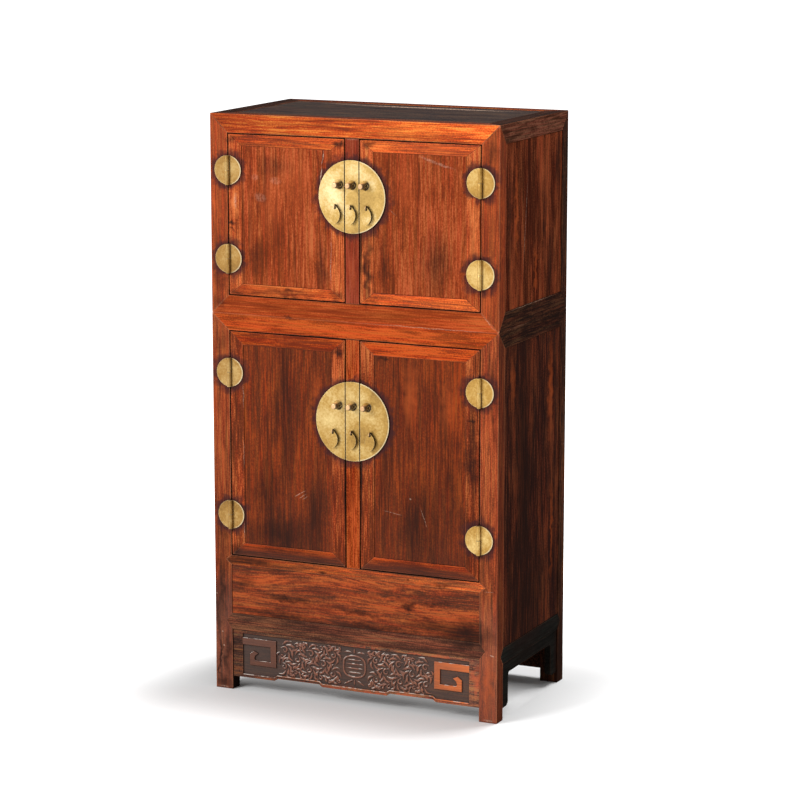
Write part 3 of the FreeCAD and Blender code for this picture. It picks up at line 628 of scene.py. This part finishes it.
def grained(here, grain, streaks, bands, even, bend, seed):
    """The colour of the fresh wood, and the noises of its layers by name."""
    place = vector_maths("ADD", here, (seed, seed, seed))
    drift = noise(stretched(place, grain, DRIFT_STRETCH), DRIFT_WAVES, 1, "Color")
    bent = vector_maths("MULTIPLY_ADD", drift, (bend, bend, bend), place)
    noises = {}
    tone = 0.0
    middle = 0.0
    for layer, (along, waves, share, drifts) in LAYERS.items():
        share = bands if layer == "band" else share
        source = stretched(bent if drifts else place, grain, along)
        noises[layer] = noise(source, waves, 2, Roughness=0.6)
        tone = maths("MULTIPLY_ADD", noises[layer], share, tone)
        middle += share / 2
    colour = ramped(ranged(tone, middle - even, middle + even), *streaks)

    # Some streaks are redder and some browner than their neighbours
    hue = noise(stretched(bent, grain, LONG_STRETCH), HUE_WAVES, 1, "Color")
    hue = ranged(axes_of(hue)["Y"], 0.35, 0.65)
    colour = blended(1.0, colour, blended(hue, REDDER, BROWNER), "MULTIPLY")

    # Thin dark veins about 10 mm apart, broken where the wood is clear
    vein = noise(stretched(bent, grain, LONG_STRETCH), VEIN_WAVES, 1)
    vein = ranged(maths("PINGPONG", vein, 0.5), 0.46, 0.5, 0.0, 0.75)
    vein = times(vein, ranged(noises["band"], 0.6, 0.42))
    dark = [part * VEIN_SHADE for part in linear(streaks[0])[:3]] + [1]
    return blended(vein, colour, dark), noises


print(len(LAYERS), "layers of grain")

# %% Light and dark sides of a board
HALF_WIDTH = 250 * MM
BOTTOM_DARK = "#3f2a22"
FOOT_DUST = "#8a6f62"
DUST_LEVELS = (230 * MM, 160 * MM)
FOOT_SHADE = "#120c0a"
FOOT_SHADE_LEVELS = (60 * MM, 40 * MM)


def aged_and_shaded(colour, spot, facing, front, side, top, lean, dark_bottom):
    """A board's colour after years of light and polish, darker towards the bottom on some boards, with its
    sides and top darker, partly as painted shade.
    """
    # Some boards are paler towards one end
    if lean:
        shift = ranged(spot["X"], -HALF_WIDTH, HALF_WIDTH, 1 - lean, 1 + lean)
        colour = blended(1.0, colour, shift, "MULTIPLY")

    # Some boards are darker towards the bottom: how much, and between which levels in mm
    if dark_bottom:
        amount, low, high = dark_bottom
        bottom_share = ranged(spot["Z"], low * MM, high * MM, amount, 0.0)
        colour = blended(bottom_share, colour, linear(BOTTOM_DARK))

    # The front has been polished and handled; the sides, the top and the back are darker, partly as painted
    # shade
    shade = ranged(facing["Z"], 0.3, 0.9, side, top)
    shade = follow("ShaderNodeMix", {0: front, 2: shade, 3: 1.0}).outputs[0]
    return blended(1.0, colour, shade, "MULTIPLY")


def dusty_and_shaded_feet(colour, spot, facing, front):
    """The feet have lost their wax: their fronts are dusty, and their inner faces are painted black as shade.
    """
    dusty = times(ranged(spot["Z"], *DUST_LEVELS, 0.0, 0.2), front)
    colour = blended(dusty, colour, linear(FOOT_DUST))
    inward = ranged(times(facing["X"], spot["X"]), -0.1, -0.2, 0.0, 0.93)
    inward = times(inward, ranged(spot["Z"], *FOOT_SHADE_LEVELS))
    return blended(inward, colour, linear(FOOT_SHADE))


print("sides ready")

# %% Traces on a board
WORN_AND_LIT_ORANGE = "#d8642e"


def with_traces(colour, here, finish, glow, noises):
    """A colour with its traces of use: dark, worn to orange, stained by brass, black in seams, and pale. Some
    orange and pale traces are painted highlights and a painted reflection, and the black of the seams is
    partly painted shade.
    """
    streaky = ranged(noises["streak"], 0.3, 0.6, 1.0, 0.7)
    broken = ranged(noises["fleck"], 0.42, 0.58, 0.2, 1.0)
    warm = [max(pair) for pair in zip(linear(WORN_AND_LIT_ORANGE), linear(glow))]
    kinds = (
        (marks(here, DARK_TRACES, finish, 0.1, 28 * MM), streaky, 2.2, linear("#20110d")),
        (marks(here, WORN_AND_LIT_TRACES, finish, 0.1, 36 * MM), streaky, 1.0, warm),
        (brass_stain(here, finish), streaky, 1.5, linear("#3f2020")),
        (marks(here, SEAMS, finish, 0.3, 2 * MM), streaky, 2.2, linear("#0c0504")),
        (marks(here, PALE_TRACES, finish, 0.5, 4.5 * MM), broken, 1.0, linear("#d8b49c")),
    )
    for trace, patchy, power, tint in kinds:
        if trace is None:
            continue
        clear = maths("SUBTRACT", 1.0, times(trace, patchy), use_clamp=True)
        # A power makes half a trace look half as dark, as the eye sees it
        colour = blended(maths("POWER", clear, power), tint, colour)
    return colour


print("five kinds of trace ready")

# %% Rosewood, mixed from all of it
CARVING_DEPTH = 2.5 * MM
APRON_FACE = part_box("front_apron")[0].y
GROUND = APRON_FACE + CARVING_DEPTH
GROUND_WAX = "#524540"
CORNER_WAX_AND_SHADE = "#150a08"
RUBBED_AND_LIT_WOOD = "#e0946a"
REACHED = (70 * MM, 130 * MM)
DULL = 0.95


def rosewood(finish, grain, streaks, bands=0.5, even=0.28, bend=0.005, side=0.5, top=0.12, lean=0.0,
             dark_bottom=None, wear_and_highlight=0.45, shine=0.06, hollow=False, feet=False, seed=0.0):
    """Waxed rosewood: its streaks are dark, middle and bright, and even says how calm they are."""
    streaks = streaks.split()
    material, tree, shader = new_material("rosewood_" + finish)
    coordinates = add(tree, "ShaderNodeTexCoord").outputs
    here = coordinates["Object"]
    spot = axes_of(here)
    facing = axes_of(coordinates["Normal"])
    front = ranged(facing["Y"], -0.8, -0.2, 1.0, 0.0)
    colour, noises = grained(here, grain, streaks, bands, even, bend, seed)
    colour = aged_and_shaded(colour, spot, facing, front, side, top, lean, dark_bottom)
    if feet:
        colour = dusty_and_shaded_feet(colour, spot, facing, front)
    colour = with_traces(colour, here, finish, streaks[2], noises)

    # The carved board's ground holds old dark wax
    if hollow:
        depth = ranged(spot["Y"], APRON_FACE, GROUND, 0.0, 0.85)
        colour = blended(depth, colour, linear(GROUND_WAX))

    # Dust and old wax in the corners, darkened further as painted shade
    corner = openness(tree, 5 * MM, 6)
    colour = blended(ranged(corner, 0.35, 0.85, 0.8, 0.0), colour, linear(CORNER_WAX_AND_SHADE))

    # Free edges are rubbed pale and carry a painted highlight, but not the joints between two boards nor the
    # back, which stands at a wall
    rubbed_and_lit = ranged(openness(tree, 2.5 * MM, 6, inside=True, only_local=True), 0.8, 0.4)
    rubbed_and_lit = times(rubbed_and_lit, ranged(noises["cloud"], 0.35, 0.6, 0.2 * wear_and_highlight, wear_and_highlight))
    rubbed_and_lit = times(rubbed_and_lit, ranged(corner, 0.85, 0.98))
    rubbed_and_lit = times(rubbed_and_lit, ranged(spot["Y"], *REACHED, 1.0, 0.1))
    colour = blended(rubbed_and_lit, colour, linear(RUBBED_AND_LIT_WOOD))

    # Only the front has a sheen of wax
    sheen = ranged(noises["cloud"], 0.3, 0.7, 0.36, 0.52)
    sheen = follow("ShaderNodeMix", {0: front, 2: DULL, 3: sheen}).outputs[0]
    bump = bumped(maths("ADD", noises["fibre"], noises["streak"]), 0.25, 0.3 * MM)
    fill(shader, {"Base Color": colour, "Roughness": sheen, "Normal": bump, "Specular IOR Level": shine})
    return material


print("rosewood ready")

# %% [markdown]
# ## One rosewood for each kind of board
# Uprights have their grain upright and rails have it level, because that is how such a frame is cut. The
# three colours of a finish are its dark, middle and bright streaks.

# %% The finishes of the front
# Side and top say how dark a board's sides and top are, partly as painted shade
FRONT_LOOKS = {
    "upper_post": dict(grain="z", streaks="#70301c #994422 #c6592c", even=0.32, side=0.66, wear_and_highlight=0.8),
    "lower_post": dict(grain="z", streaks="#5d2c19 #9c4627 #c56535", even=0.32, side=0.37, wear_and_highlight=0.8,
                       dark_bottom=(0.2, 130, 300), lean=0.2, feet=True, seed=3.1),
    "top_rail": dict(grain="x", streaks="#8a391d #d85621 #fa8f3d", side=0.08, lean=0.36, wear_and_highlight=0.6, seed=5.2),
    "upper_bottom_rail": dict(grain="x", streaks="#8e3510 #aa471b #c85929", even=0.24, side=0.12, lean=0.1,
                              seed=7.4),
    "lower_top_rail": dict(grain="x", streaks="#873612 #bb4a1a #d45b24", even=0.18, side=0.12,
                           lean=0.08, seed=8.6),
    "upper_door_rail": dict(grain="x", streaks="#903e24 #db5e27 #ff803d", lean=0.34, seed=9.1),
    "upper_door_stile": dict(grain="z", streaks="#823216 #c25a2d #ed8649", even=0.3, seed=11.3),
    "lower_door_rail": dict(grain="x", streaks="#7e2d14 #aa4014 #d05620", even=0.17, lean=0.2,
                            dark_bottom=(0.8, 262, 276), seed=13.7),
    "lower_door_stile": dict(grain="z", streaks="#652a15 #97411f #ce6b39", even=0.22, seed=15.9),
    "upper_panel": dict(grain="z", streaks="#732f13 #9e431d #c56136", bands=0.7, seed=17.3),
    "lower_panel": dict(grain="z", streaks="#592715 #783318 #a1451c", dark_bottom=(0.3, 270, 420), seed=19.6),
    "upper_stile": dict(grain="z", streaks="#6d2917 #8f381f #a44830", seed=21.2),
    "lower_stile": dict(grain="z", streaks="#732404 #a64216 #c75d2c", even=0.18, seed=23.8),
    "sill": dict(grain="x", streaks="#5f3221 #9c4c29 #f1702f", even=0.36, lean=0.5, seed=25.5),
    "belly": dict(grain="x", streaks="#562d20 #8b4025 #c45d2f", bands=1.1, bend=0.05, lean=0.05,
                  dark_bottom=(0.2, 140, 235), seed=27.1),
    "bottom_rail": dict(grain="x", streaks="#45281f #653b2c #92563b", even=0.22, bands=0.8, side=0.2,
                        lean=0.1, seed=29.4),
    "apron": dict(grain="x", streaks="#442d27 #6f493c #a26643", even=0.22, lean=0.42, hollow=True, seed=31.7),
}
finishes = {finish: rosewood(finish, **look) for finish, look in FRONT_LOOKS.items()}
print(len(finishes), "finishes on the front")

# %% The finishes of the sides, the top and the back
OTHER_LOOKS = {
    "upper_side": dict(grain="z", streaks="#3a1408 #602b17 #974829", even=0.24, bands=0.8, seed=33.2),
    "lower_side": dict(grain="z", streaks="#25110e #3f1f15 #713721", even=0.23, bands=0.8, seed=35.8),
    "upper_end": dict(grain="y", streaks="#3d1f12 #5a3224 #7f4c39", even=0.21, top=0.17, seed=37.3),
    "middle_end": dict(grain="y", streaks="#1c0f0b #351c13 #523121", even=0.18, seed=39.9),
    "low_end": dict(grain="y", streaks="#0a0a07 #171412 #22201c", wear_and_highlight=0.2, seed=41.5),
    "back_post": dict(grain="z", streaks="#1c100c #3a2118 #6e3f28", seed=43.1),
    "top_panel": dict(grain="x", streaks="#271f1f #352c2a #4c382d", even=0.2, top=1.0, seed=45.7),
    "back_panel": dict(grain="z", streaks="#20130e #432a1e #6d452e", seed=47.2),
}
for finish, look in OTHER_LOOKS.items():
    finishes[finish] = rosewood(finish, side=1.0, shine=0.02, **look)
print(len(finishes), "rosewood finishes")

# %% [markdown]
# ## Brass
# The hinges, lock plates, loops and pulls are cast and hammered brass. It was polished once, has yellowed
# and dulled in patches, and is bright again along the rims, where hands and cloths rub. Painted highlights
# lie on the left of each plate, on the right half of each rim and on the tips of the pegs, and painted
# shade on the right flanks of pegs and pulls and in the corners round them.

# %% Aged brass, with painted highlights and shade
BRASS_TONES = ("#8a6a2b", "#b9964b", "#e4cf92")
TARNISH_WIDTH = 14 * MM
PAINTED_LEFT_LIGHT = -2.4
SHADED_FLANK_SIDE = (0.95, 0, -0.31)
FLANK_SHADE_COLOUR = "#2a1a08"
OLD_POLISH_AND_SHADE = "#1c1206"
BARE_AND_LIT_TIPS = "#dcae86"
TIPS_FROM = (FRONT_Y - 8 * MM, FRONT_Y - 11 * MM)


def brass_colour(place, spot, away, across, patch, axis, tints):
    """The colour of the plates, which were not cleaned alike and are painted lighter on their left: the tints
    are those at both ends of an axis.
    """
    tone = maths("MULTIPLY_ADD", patch, 0.55, noise(place, 22, 2))

    # The tarnish thickens towards the rim, and the left of each plate is painted lighter than its right, a
    # painted highlight as on a domed plate lit from the left
    tone = maths("SUBTRACT", tone, ranged(away, -TARNISH_WIDTH, 0.0, 0.0, 0.12))
    tone = maths("MULTIPLY_ADD", across, PAINTED_LEFT_LIGHT, tone)
    colour = ramped(ranged(tone, 0.35, 1.05), *BRASS_TONES)
    middles = sorted(middle["XZ".index(axis)] for middle in spots)
    along = ranged(spot[axis], middles[0], middles[-1])
    return blended(1.0, colour, blended(along, *tints), "MULTIPLY")


def aged_brass_with_painted_light(finish, flanks, reach, axis, tints):
    """Brass, dulled in patches: flanks is how dark the painted shade on its right flanks is, reach how far
    the painted shade and old polish reach from a corner.
    """
    material, tree, shader = new_material("aged_" + finish)
    coordinates = add(tree, "ShaderNodeTexCoord").outputs
    place = coordinates["Object"]
    spot = axes_of(place)
    away = from_brass(place, finish)
    patch = noise(place, 260, 3, Roughness=0.6)

    # The place across each plate is measured from its own middle
    column = 0.5 * hinge_across
    across = maths("WRAP", spot["X"], column, -column)
    colour = brass_colour(place, spot, away, across, patch, axis, tints)

    # Painted shade on the right flanks and undersides of pegs and pulls, which face away from the lamp
    turned = vector_maths("DOT_PRODUCT", coordinates["Normal"], SHADED_FLANK_SIDE)
    flank_shade = ranged(turned, 0.12, 0.5, 0.0, flanks)
    flank_shade = times(flank_shade, ranged(away, -1.5 * MM, -0.5 * MM, 1.0, 0.0))
    colour = blended(flank_shade, colour, linear(FLANK_SHADE_COLOUR))

    # Old polish and dirt sit round the pegs, behind the pulls and in the seams, darkened further as painted
    # shade
    grime_and_shade = ranged(openness(tree, reach, 8), 0.35, 0.75, 0.95, 0.0)
    colour = blended(grime_and_shade, colour, linear(OLD_POLISH_AND_SHADE))

    # Hands have kept the tips of the pegs and the fronts of the ring eyes bare and rosy, and a painted
    # highlight lies on them
    tips = times(ranged(spot["Y"], *TIPS_FROM), ranged(flank_shade, 0.0, 1.0, 0.6, 0.1))
    colour = blended(tips, colour, linear(BARE_AND_LIT_TIPS))

    # Edges are rubbed bright and carry a painted highlight, and the right half of each rim has a painted
    # highlight
    rubbed_and_lit = openness(tree, 1.2 * MM, 6, inside=True, only_local=True)
    colour = blended(ranged(rubbed_and_lit, 0.75, 0.4, 0.0, 0.6), colour, linear("#f6e4b4"))
    edge = ranged(away, -2.2 * MM, -1.2 * MM)
    edge = times(edge, ranged(across, 4 * MM, 18 * MM, 0.0, 0.4))
    colour = blended(edge, colour, linear("#efe0bc"))

    # The film of tarnish and wax over the metal is dull, so part of what is seen is not metal
    dull = ranged(patch, 0.35, 0.65, 0.55, 0.36)
    hammered = bumped(noise(place, 130, 1), 0.15, 0.5 * MM)
    fill(shader, {"Base Color": colour, "Roughness": dull, "Normal": hammered, "Metallic": 0.5})
    return material


finishes["hinge_brass"] = aged_brass_with_painted_light("hinge_brass", flanks=0.0, reach=1.2 * MM, axis="X",
                                     tints=((0.64, 0.53, 0.41, 1), (0.89, 0.78, 0.61, 1)))
finishes["lock_brass"] = aged_brass_with_painted_light("lock_brass", flanks=0.97, reach=7 * MM, axis="Z",
                                    tints=((0.74, 0.64, 0.46, 1), (1.1, 1.1, 1.25, 1)))
print("brass ready")

# %% [markdown]
# ## Bare boards inside
# The shelf, the floors and the lid of the hidden compartment were planed and left without wax. They are a
# paler, drier wood with a dull surface.

# %% Bare boards
def bare_wood(name, grain):
    """Planed, unwaxed softer wood."""
    material, tree, shader = new_material(name)
    place = stretched(add(tree, "ShaderNodeTexCoord").outputs["Object"], grain, 0.05)
    ring = noise(place, 60, 4, Roughness=0.6, Distortion=0.4)
    ramp = follow("ShaderNodeValToRGB", {0: ring})
    for stop, position, code in zip(ramp.color_ramp.elements, (0.3, 0.7), ("#4b2f1c", "#9a7450")):
        stop.position = position
        stop.color = linear(code)
    relief = bumped(ring, 0.3, 0.4 * MM)
    fill(shader, {"Base Color": ramp.outputs["Color"], "Roughness": 0.7, "Normal": relief,
                  "Specular IOR Level": 0.2})
    return material


finishes["bare"] = bare_wood("bare_board", "x")
print(len(finishes), "finishes in all")

# %% Dress every node
for name, piece in nodes.items():
    piece.data.materials.clear()
    piece.data.materials.append(finishes[finish_of(name)])
print("finishes given to", len(nodes), "nodes")

# %% [markdown]
# ## Eased edges
# No edge on hand-planed furniture is perfectly sharp: it is eased with a plane, and wears rounder with
# use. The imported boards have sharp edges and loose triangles, so three modifiers work on each of them:
# one joins the triangles' corners, one merges the triangles of each flat face, and one rounds the edges.

# %% Round the edges
EASED = {"hinge_brass": 0.25 * MM, "lock_brass": 0.25 * MM, "bare": 0.6 * MM, "upper_post": 1.5 * MM,
         "lower_post": 1.5 * MM}
EASED_ELSEWHERE = 0.7 * MM
for name, piece in nodes.items():
    join = piece.modifiers.new("join_corners", "WELD")
    join.merge_threshold = 0.005 * MM
    flat = piece.modifiers.new("merge_flat_faces", "DECIMATE")
    flat.decimate_type = "DISSOLVE"
    flat.angle_limit = math.radians(0.5)
    ease = piece.modifiers.new("ease_edges", "BEVEL")
    ease.width = EASED.get(finish_of(name), EASED_ELSEWHERE)
    ease.segments = 2
    ease.limit_method = "ANGLE"
    ease.angle_limit = math.radians(40)
    ease.harden_normals = False
print("edges eased")

# %% [markdown]
# ## Carving on the apron
# The apron's ground is sunk by a chisel, and the ornament is what stands: a square fret at each end,
# whorls of small leaves towards the middle, and a barred oval in the middle. It could be painted on as
# bump, but the light would not catch its edges from the side, so it is cut as real relief. The frets are
# flat bands, so each starts as one outline that is extruded and has its edges broken. The leaves are
# strokes of a gouge: a smooth line that swells and thins, which a curve with a width at each point makes
# best.

# %% Wood of the carving
CARVED_HALF = 230 * MM
LEFT_END_SHADE = (0.34, 0.34, 0.4, 1)
RIGHT_END = (1.9, 1.2, 0.65, 1)
# The tints between both ends, each at its share of the way
TINTS_BETWEEN = [(0.155, LEFT_END_SHADE), (0.2, (0.9, 0.9, 0.95, 1)), (0.82, WHITE), (0.85, (1.3, 0.9, 0.6, 1))]
UP_TO_THE_LIGHT = (-0.35, -0.35, 0.87)


def carved_wood(name):
    """Rosewood whose hollows are black with old wax and painted shade, whose tops are worn bare, and whose
    upward flanks carry painted highlights.
    """
    material, tree, shader = new_material(name)
    coordinates = add(tree, "ShaderNodeTexCoord").outputs
    here = coordinates["Object"]
    spot = axes_of(here)
    grain = noise(stretched(here, "x", 0.08), 300, 3, Roughness=0.65)
    tone = maths("ADD", grain, ranged(spot["Y"], GROUND, APRON_FACE))
    colour = ramped(ranged(tone, 0.5, 1.8), "#3c322e", "#915f4b", "#c07850")

    # The right end has kept its orange, and the left end is the darkest, a painted shade
    lean = follow("ShaderNodeValToRGB", {0: ranged(spot["X"], -CARVED_HALF, CARVED_HALF)})
    tints = lean.color_ramp.elements
    tints[0].color = LEFT_END_SHADE
    tints[1].color = RIGHT_END
    for share, tint in TINTS_BETWEEN:
        tints.new(share).color = tint
    colour = blended(1.0, colour, lean.outputs["Color"], "MULTIPLY")

    # Painted highlights on the flanks that look up towards the light
    facing = vector_maths("DOT_PRODUCT", coordinates["Normal"], UP_TO_THE_LIGHT)
    glint = ranged(noise(here, 110, 2), 0.48, 0.56, 0.0, 0.75)
    glint = times(glint, ranged(facing, 0.58, 0.74))
    colour = blended(glint, colour, linear("#e2d5ca"))
    # Painted shade and old wax in the crevices of the carving
    grime_and_shade = ranged(openness(tree, 3 * MM, 6), 0.3, 0.7, 0.8, 0.0)
    colour = blended(grime_and_shade, colour, linear("#2c2320"))
    fill(shader, {"Base Color": colour, "Roughness": 0.38, "Specular IOR Level": 0.25})
    return material


finishes["carved"] = carved_wood("rosewood_carving")
print("wood of the carving ready")

# %% From a mesh or a line to a piece of the carving
def keep(mesh, name):
    """Make a finished mesh a piece of the carving."""
    data = bpy.data.meshes.new(name)
    bmesh.ops.recalc_face_normals(mesh, faces=mesh.faces)
    mesh.to_mesh(data)
    mesh.free()
    piece = bpy.data.objects.new(name, data)
    data.materials.append(finishes["carved"])
    scene.collection.objects.link(piece)
    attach(piece, "lower_case")
    print(name, len(data.polygons), "faces")
    return piece


def new_line(name, radius):
    """A curve that becomes a round bar of one radius."""
    curve = bpy.data.curves.new(name, "CURVE")
    curve.dimensions = "3D"
    curve.bevel_depth = radius
    curve.bevel_resolution = 2
    curve.use_fill_caps = True
    return curve


def line_mesh(curve):
    """The mesh of such a bar."""
    drawing = bpy.data.objects.new(curve.name, curve)
    mesh = bmesh.new()
    mesh.from_mesh(bpy.data.meshes.new_from_object(drawing))
    bpy.data.objects.remove(drawing)
    return mesh


print("the carving will stand", CARVING_DEPTH / MM, "mm high")

# %% Square frets at both ends
# The outline of the right fret, across and up in mm: a band that turns inwards and ends in a hook
FRET = [(225, 99), (156.5, 99), (156.5, 49), (210, 49), (210, 70), (202, 76), (193, 72), (199, 67), (201, 62),
        (199, 58.5), (168, 58.5), (168, 86), (225, 86)]
EMBED = 0.4 * MM
BELOW_FACE = 0.2 * MM
BROKEN_EDGE = 0.6 * MM
mesh = bmesh.new()
for hand in (1, -1):
    outline = [mesh.verts.new((hand * x * MM, GROUND + EMBED, z * MM)) for x, z in FRET]
    base = mesh.faces.new(outline)
    raised = bmesh.ops.extrude_face_region(mesh, geom=[base])["geom"]
    top = [part for part in raised if isinstance(part, bmesh.types.BMVert)]
    bmesh.ops.translate(mesh, verts=top, vec=(0, -CARVING_DEPTH - EMBED + BELOW_FACE, 0))
    rim = [part for part in raised if isinstance(part, bmesh.types.BMEdge)]
    bmesh.ops.bevel(mesh, geom=rim, offset=BROKEN_EDGE, affect="EDGES", segments=2, profile=0.5, material=-1)
keep(mesh, "apron_frets")

# %% Whorls of leaves
# A whorl of the right half: its middle across and up, its radius in mm, its leaves and its first angle
WHORLS = [
    (140, 85, 18, 8, 20), (141, 54, 16, 8, 60), (114, 70, 17, 8, 100), (115, 96, 11, 6, 10),
    (118, 45, 11, 6, 40), (88, 84, 19, 9, 30), (91, 53, 16, 8, 80), (63, 68, 17, 8, 50),
    (66, 96, 11, 6, 15), (68, 41, 11, 6, 70), (42, 86, 15, 7, 90), (43, 51, 15, 7, 130),
    (128, 39, 8, 5, 0), (100, 37, 8, 5, 30), (30, 99, 8, 5, 40), (31, 38, 9, 5, 10),
    (50, 36, 8, 5, 55), (150, 69, 9, 5, 25), (102, 100, 8, 5, 70), (50, 101, 8, 5, 20),
]
# A point of a leaf or a curl: its share of the whorl's radius, its angle and half its width in mm
LEAF = [(0.5, 0, 0.9), (0.76, 24, 2.5), (1.02, 42, 2.2), (1.18, 66, 0.8)]
CURL = [(0.42, 0, 1.0), (0.4, 70, 1.9), (0.36, 140, 2.0), (0.3, 210, 1.8), (0.22, 290, 1.5), (0.1, 380, 1.1)]
# The sunk ground between the middle and the fret: left, right, low and high
FIELD = (25, 155, 33, 104.5)


def whorl_points(x, z, radius, start, shape):
    """The points of one leaf or curl."""
    points = []
    for share, angle, half_width in shape:
        turn = math.radians(start + angle)
        points.append((x + share * radius * math.cos(turn), z + share * radius * math.sin(turn), half_width))
    return points


def inside_field(points):
    """True for a stroke that stays on the sunk ground between the fret and the middle."""
    left, right, low, high = FIELD
    return all(left < x < right and low < z < high for x, z, half_width in points)


strokes = []
for x, z, radius, leaves, first in WHORLS:
    strokes.append(whorl_points(x, z, radius, first, CURL))
    strokes += [whorl_points(x, z, radius, first + 360 * leaf / leaves, LEAF) for leaf in range(leaves)]
strokes = [points for points in strokes if inside_field(points)]
print(len(strokes), "strokes on each half")

# %% The middle, and all strokes together
# A plain oval with bars across it, and leaves above and below; a point is its place and half its width in mm
OVAL = [(22, 70), (20, 86), (0, 91), (-20, 86), (-22, 70), (-20, 54), (0, 49), (20, 54)]
OVAL_HALF_WIDTH = 2.0
BARS = [(82, 12), (74.5, 16), (66.5, 16), (58.5, 12)]
MIDDLE = [[(-reach, up, 1.0), (0, up, 2.7), (reach, up, 1.0)] for up, reach in BARS]
MIDDLE += [[(0, 94, 1.0), (0, 98, 3.0), (0, 103, 1.0)], [(-3, 45, 1.0), (-10, 42, 2.6), (-20, 36, 1.0)],
           [(3, 45, 1.0), (10, 42, 2.6), (20, 36, 1.0)], [(0, 46, 1.0), (0, 41, 2.4), (0, 35, 1.0)],
           [(-6, 95, 1.0), (-13, 98, 2.6), (-20, 95, 1.0)], [(6, 95, 1.0), (13, 98, 2.6), (20, 95, 1.0)]]
STROKE_RISE = 0.8


def add_stroke(curve, points, closed=False):
    """A smooth line with a width at each point."""
    line = curve.splines.new("NURBS")
    line.points.add(len(points) - 1)
    for point, (x, z, half_width) in zip(line.points, points):
        point.co = (x * MM, 0, z * MM, 1)
        point.radius = half_width
    line.use_cyclic_u = closed
    line.use_endpoint_u = not closed
    line.order_u = 3
    line.resolution_u = 4


curve = new_line("scroll_lines", 1 * MM)
for points in strokes:
    add_stroke(curve, points)
    add_stroke(curve, [(-x, z, half_width) for x, z, half_width in points])
for points in MIDDLE:
    add_stroke(curve, points)
add_stroke(curve, [(x, z, OVAL_HALF_WIDTH) for x, z in OVAL], closed=True)
mesh = line_mesh(curve)
bmesh.ops.scale(mesh, verts=mesh.verts, vec=(1, STROKE_RISE, 1))
bmesh.ops.translate(mesh, verts=mesh.verts, vec=(0, GROUND, 0))
scrolls = keep(mesh, "apron_scrolls")
scrolls.data.shade_smooth()

# %% [markdown]
# ## The bead along the apron's lower edge
# A thin rounded bead follows the steps of the apron's lower edge and closes the sunk ground. It is a
# round line that is pressed half into the wood, so a curve with straight runs makes it.

# %% The bead
BEAD = [(0, 29.7), (64, 29.7), (70, 34.2), (154, 34.2), (160, 29.7), (223, 29.7)]
BEAD_RADIUS = 1.3 * MM
BEAD_DEPTH = 0.4 * MM
curve = new_line("bead_line", BEAD_RADIUS)
line = curve.splines.new("POLY")
path = [(-x, z) for x, z in reversed(BEAD[1:])] + BEAD
line.points.add(len(path) - 1)
for point, (x, z) in zip(line.points, path):
    point.co = (x * MM, APRON_FACE + BEAD_DEPTH, z * MM, 1)
bead = keep(line_mesh(curve), "apron_bead")
bead.data.shade_smooth()

# %% Measure and finish
low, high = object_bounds()
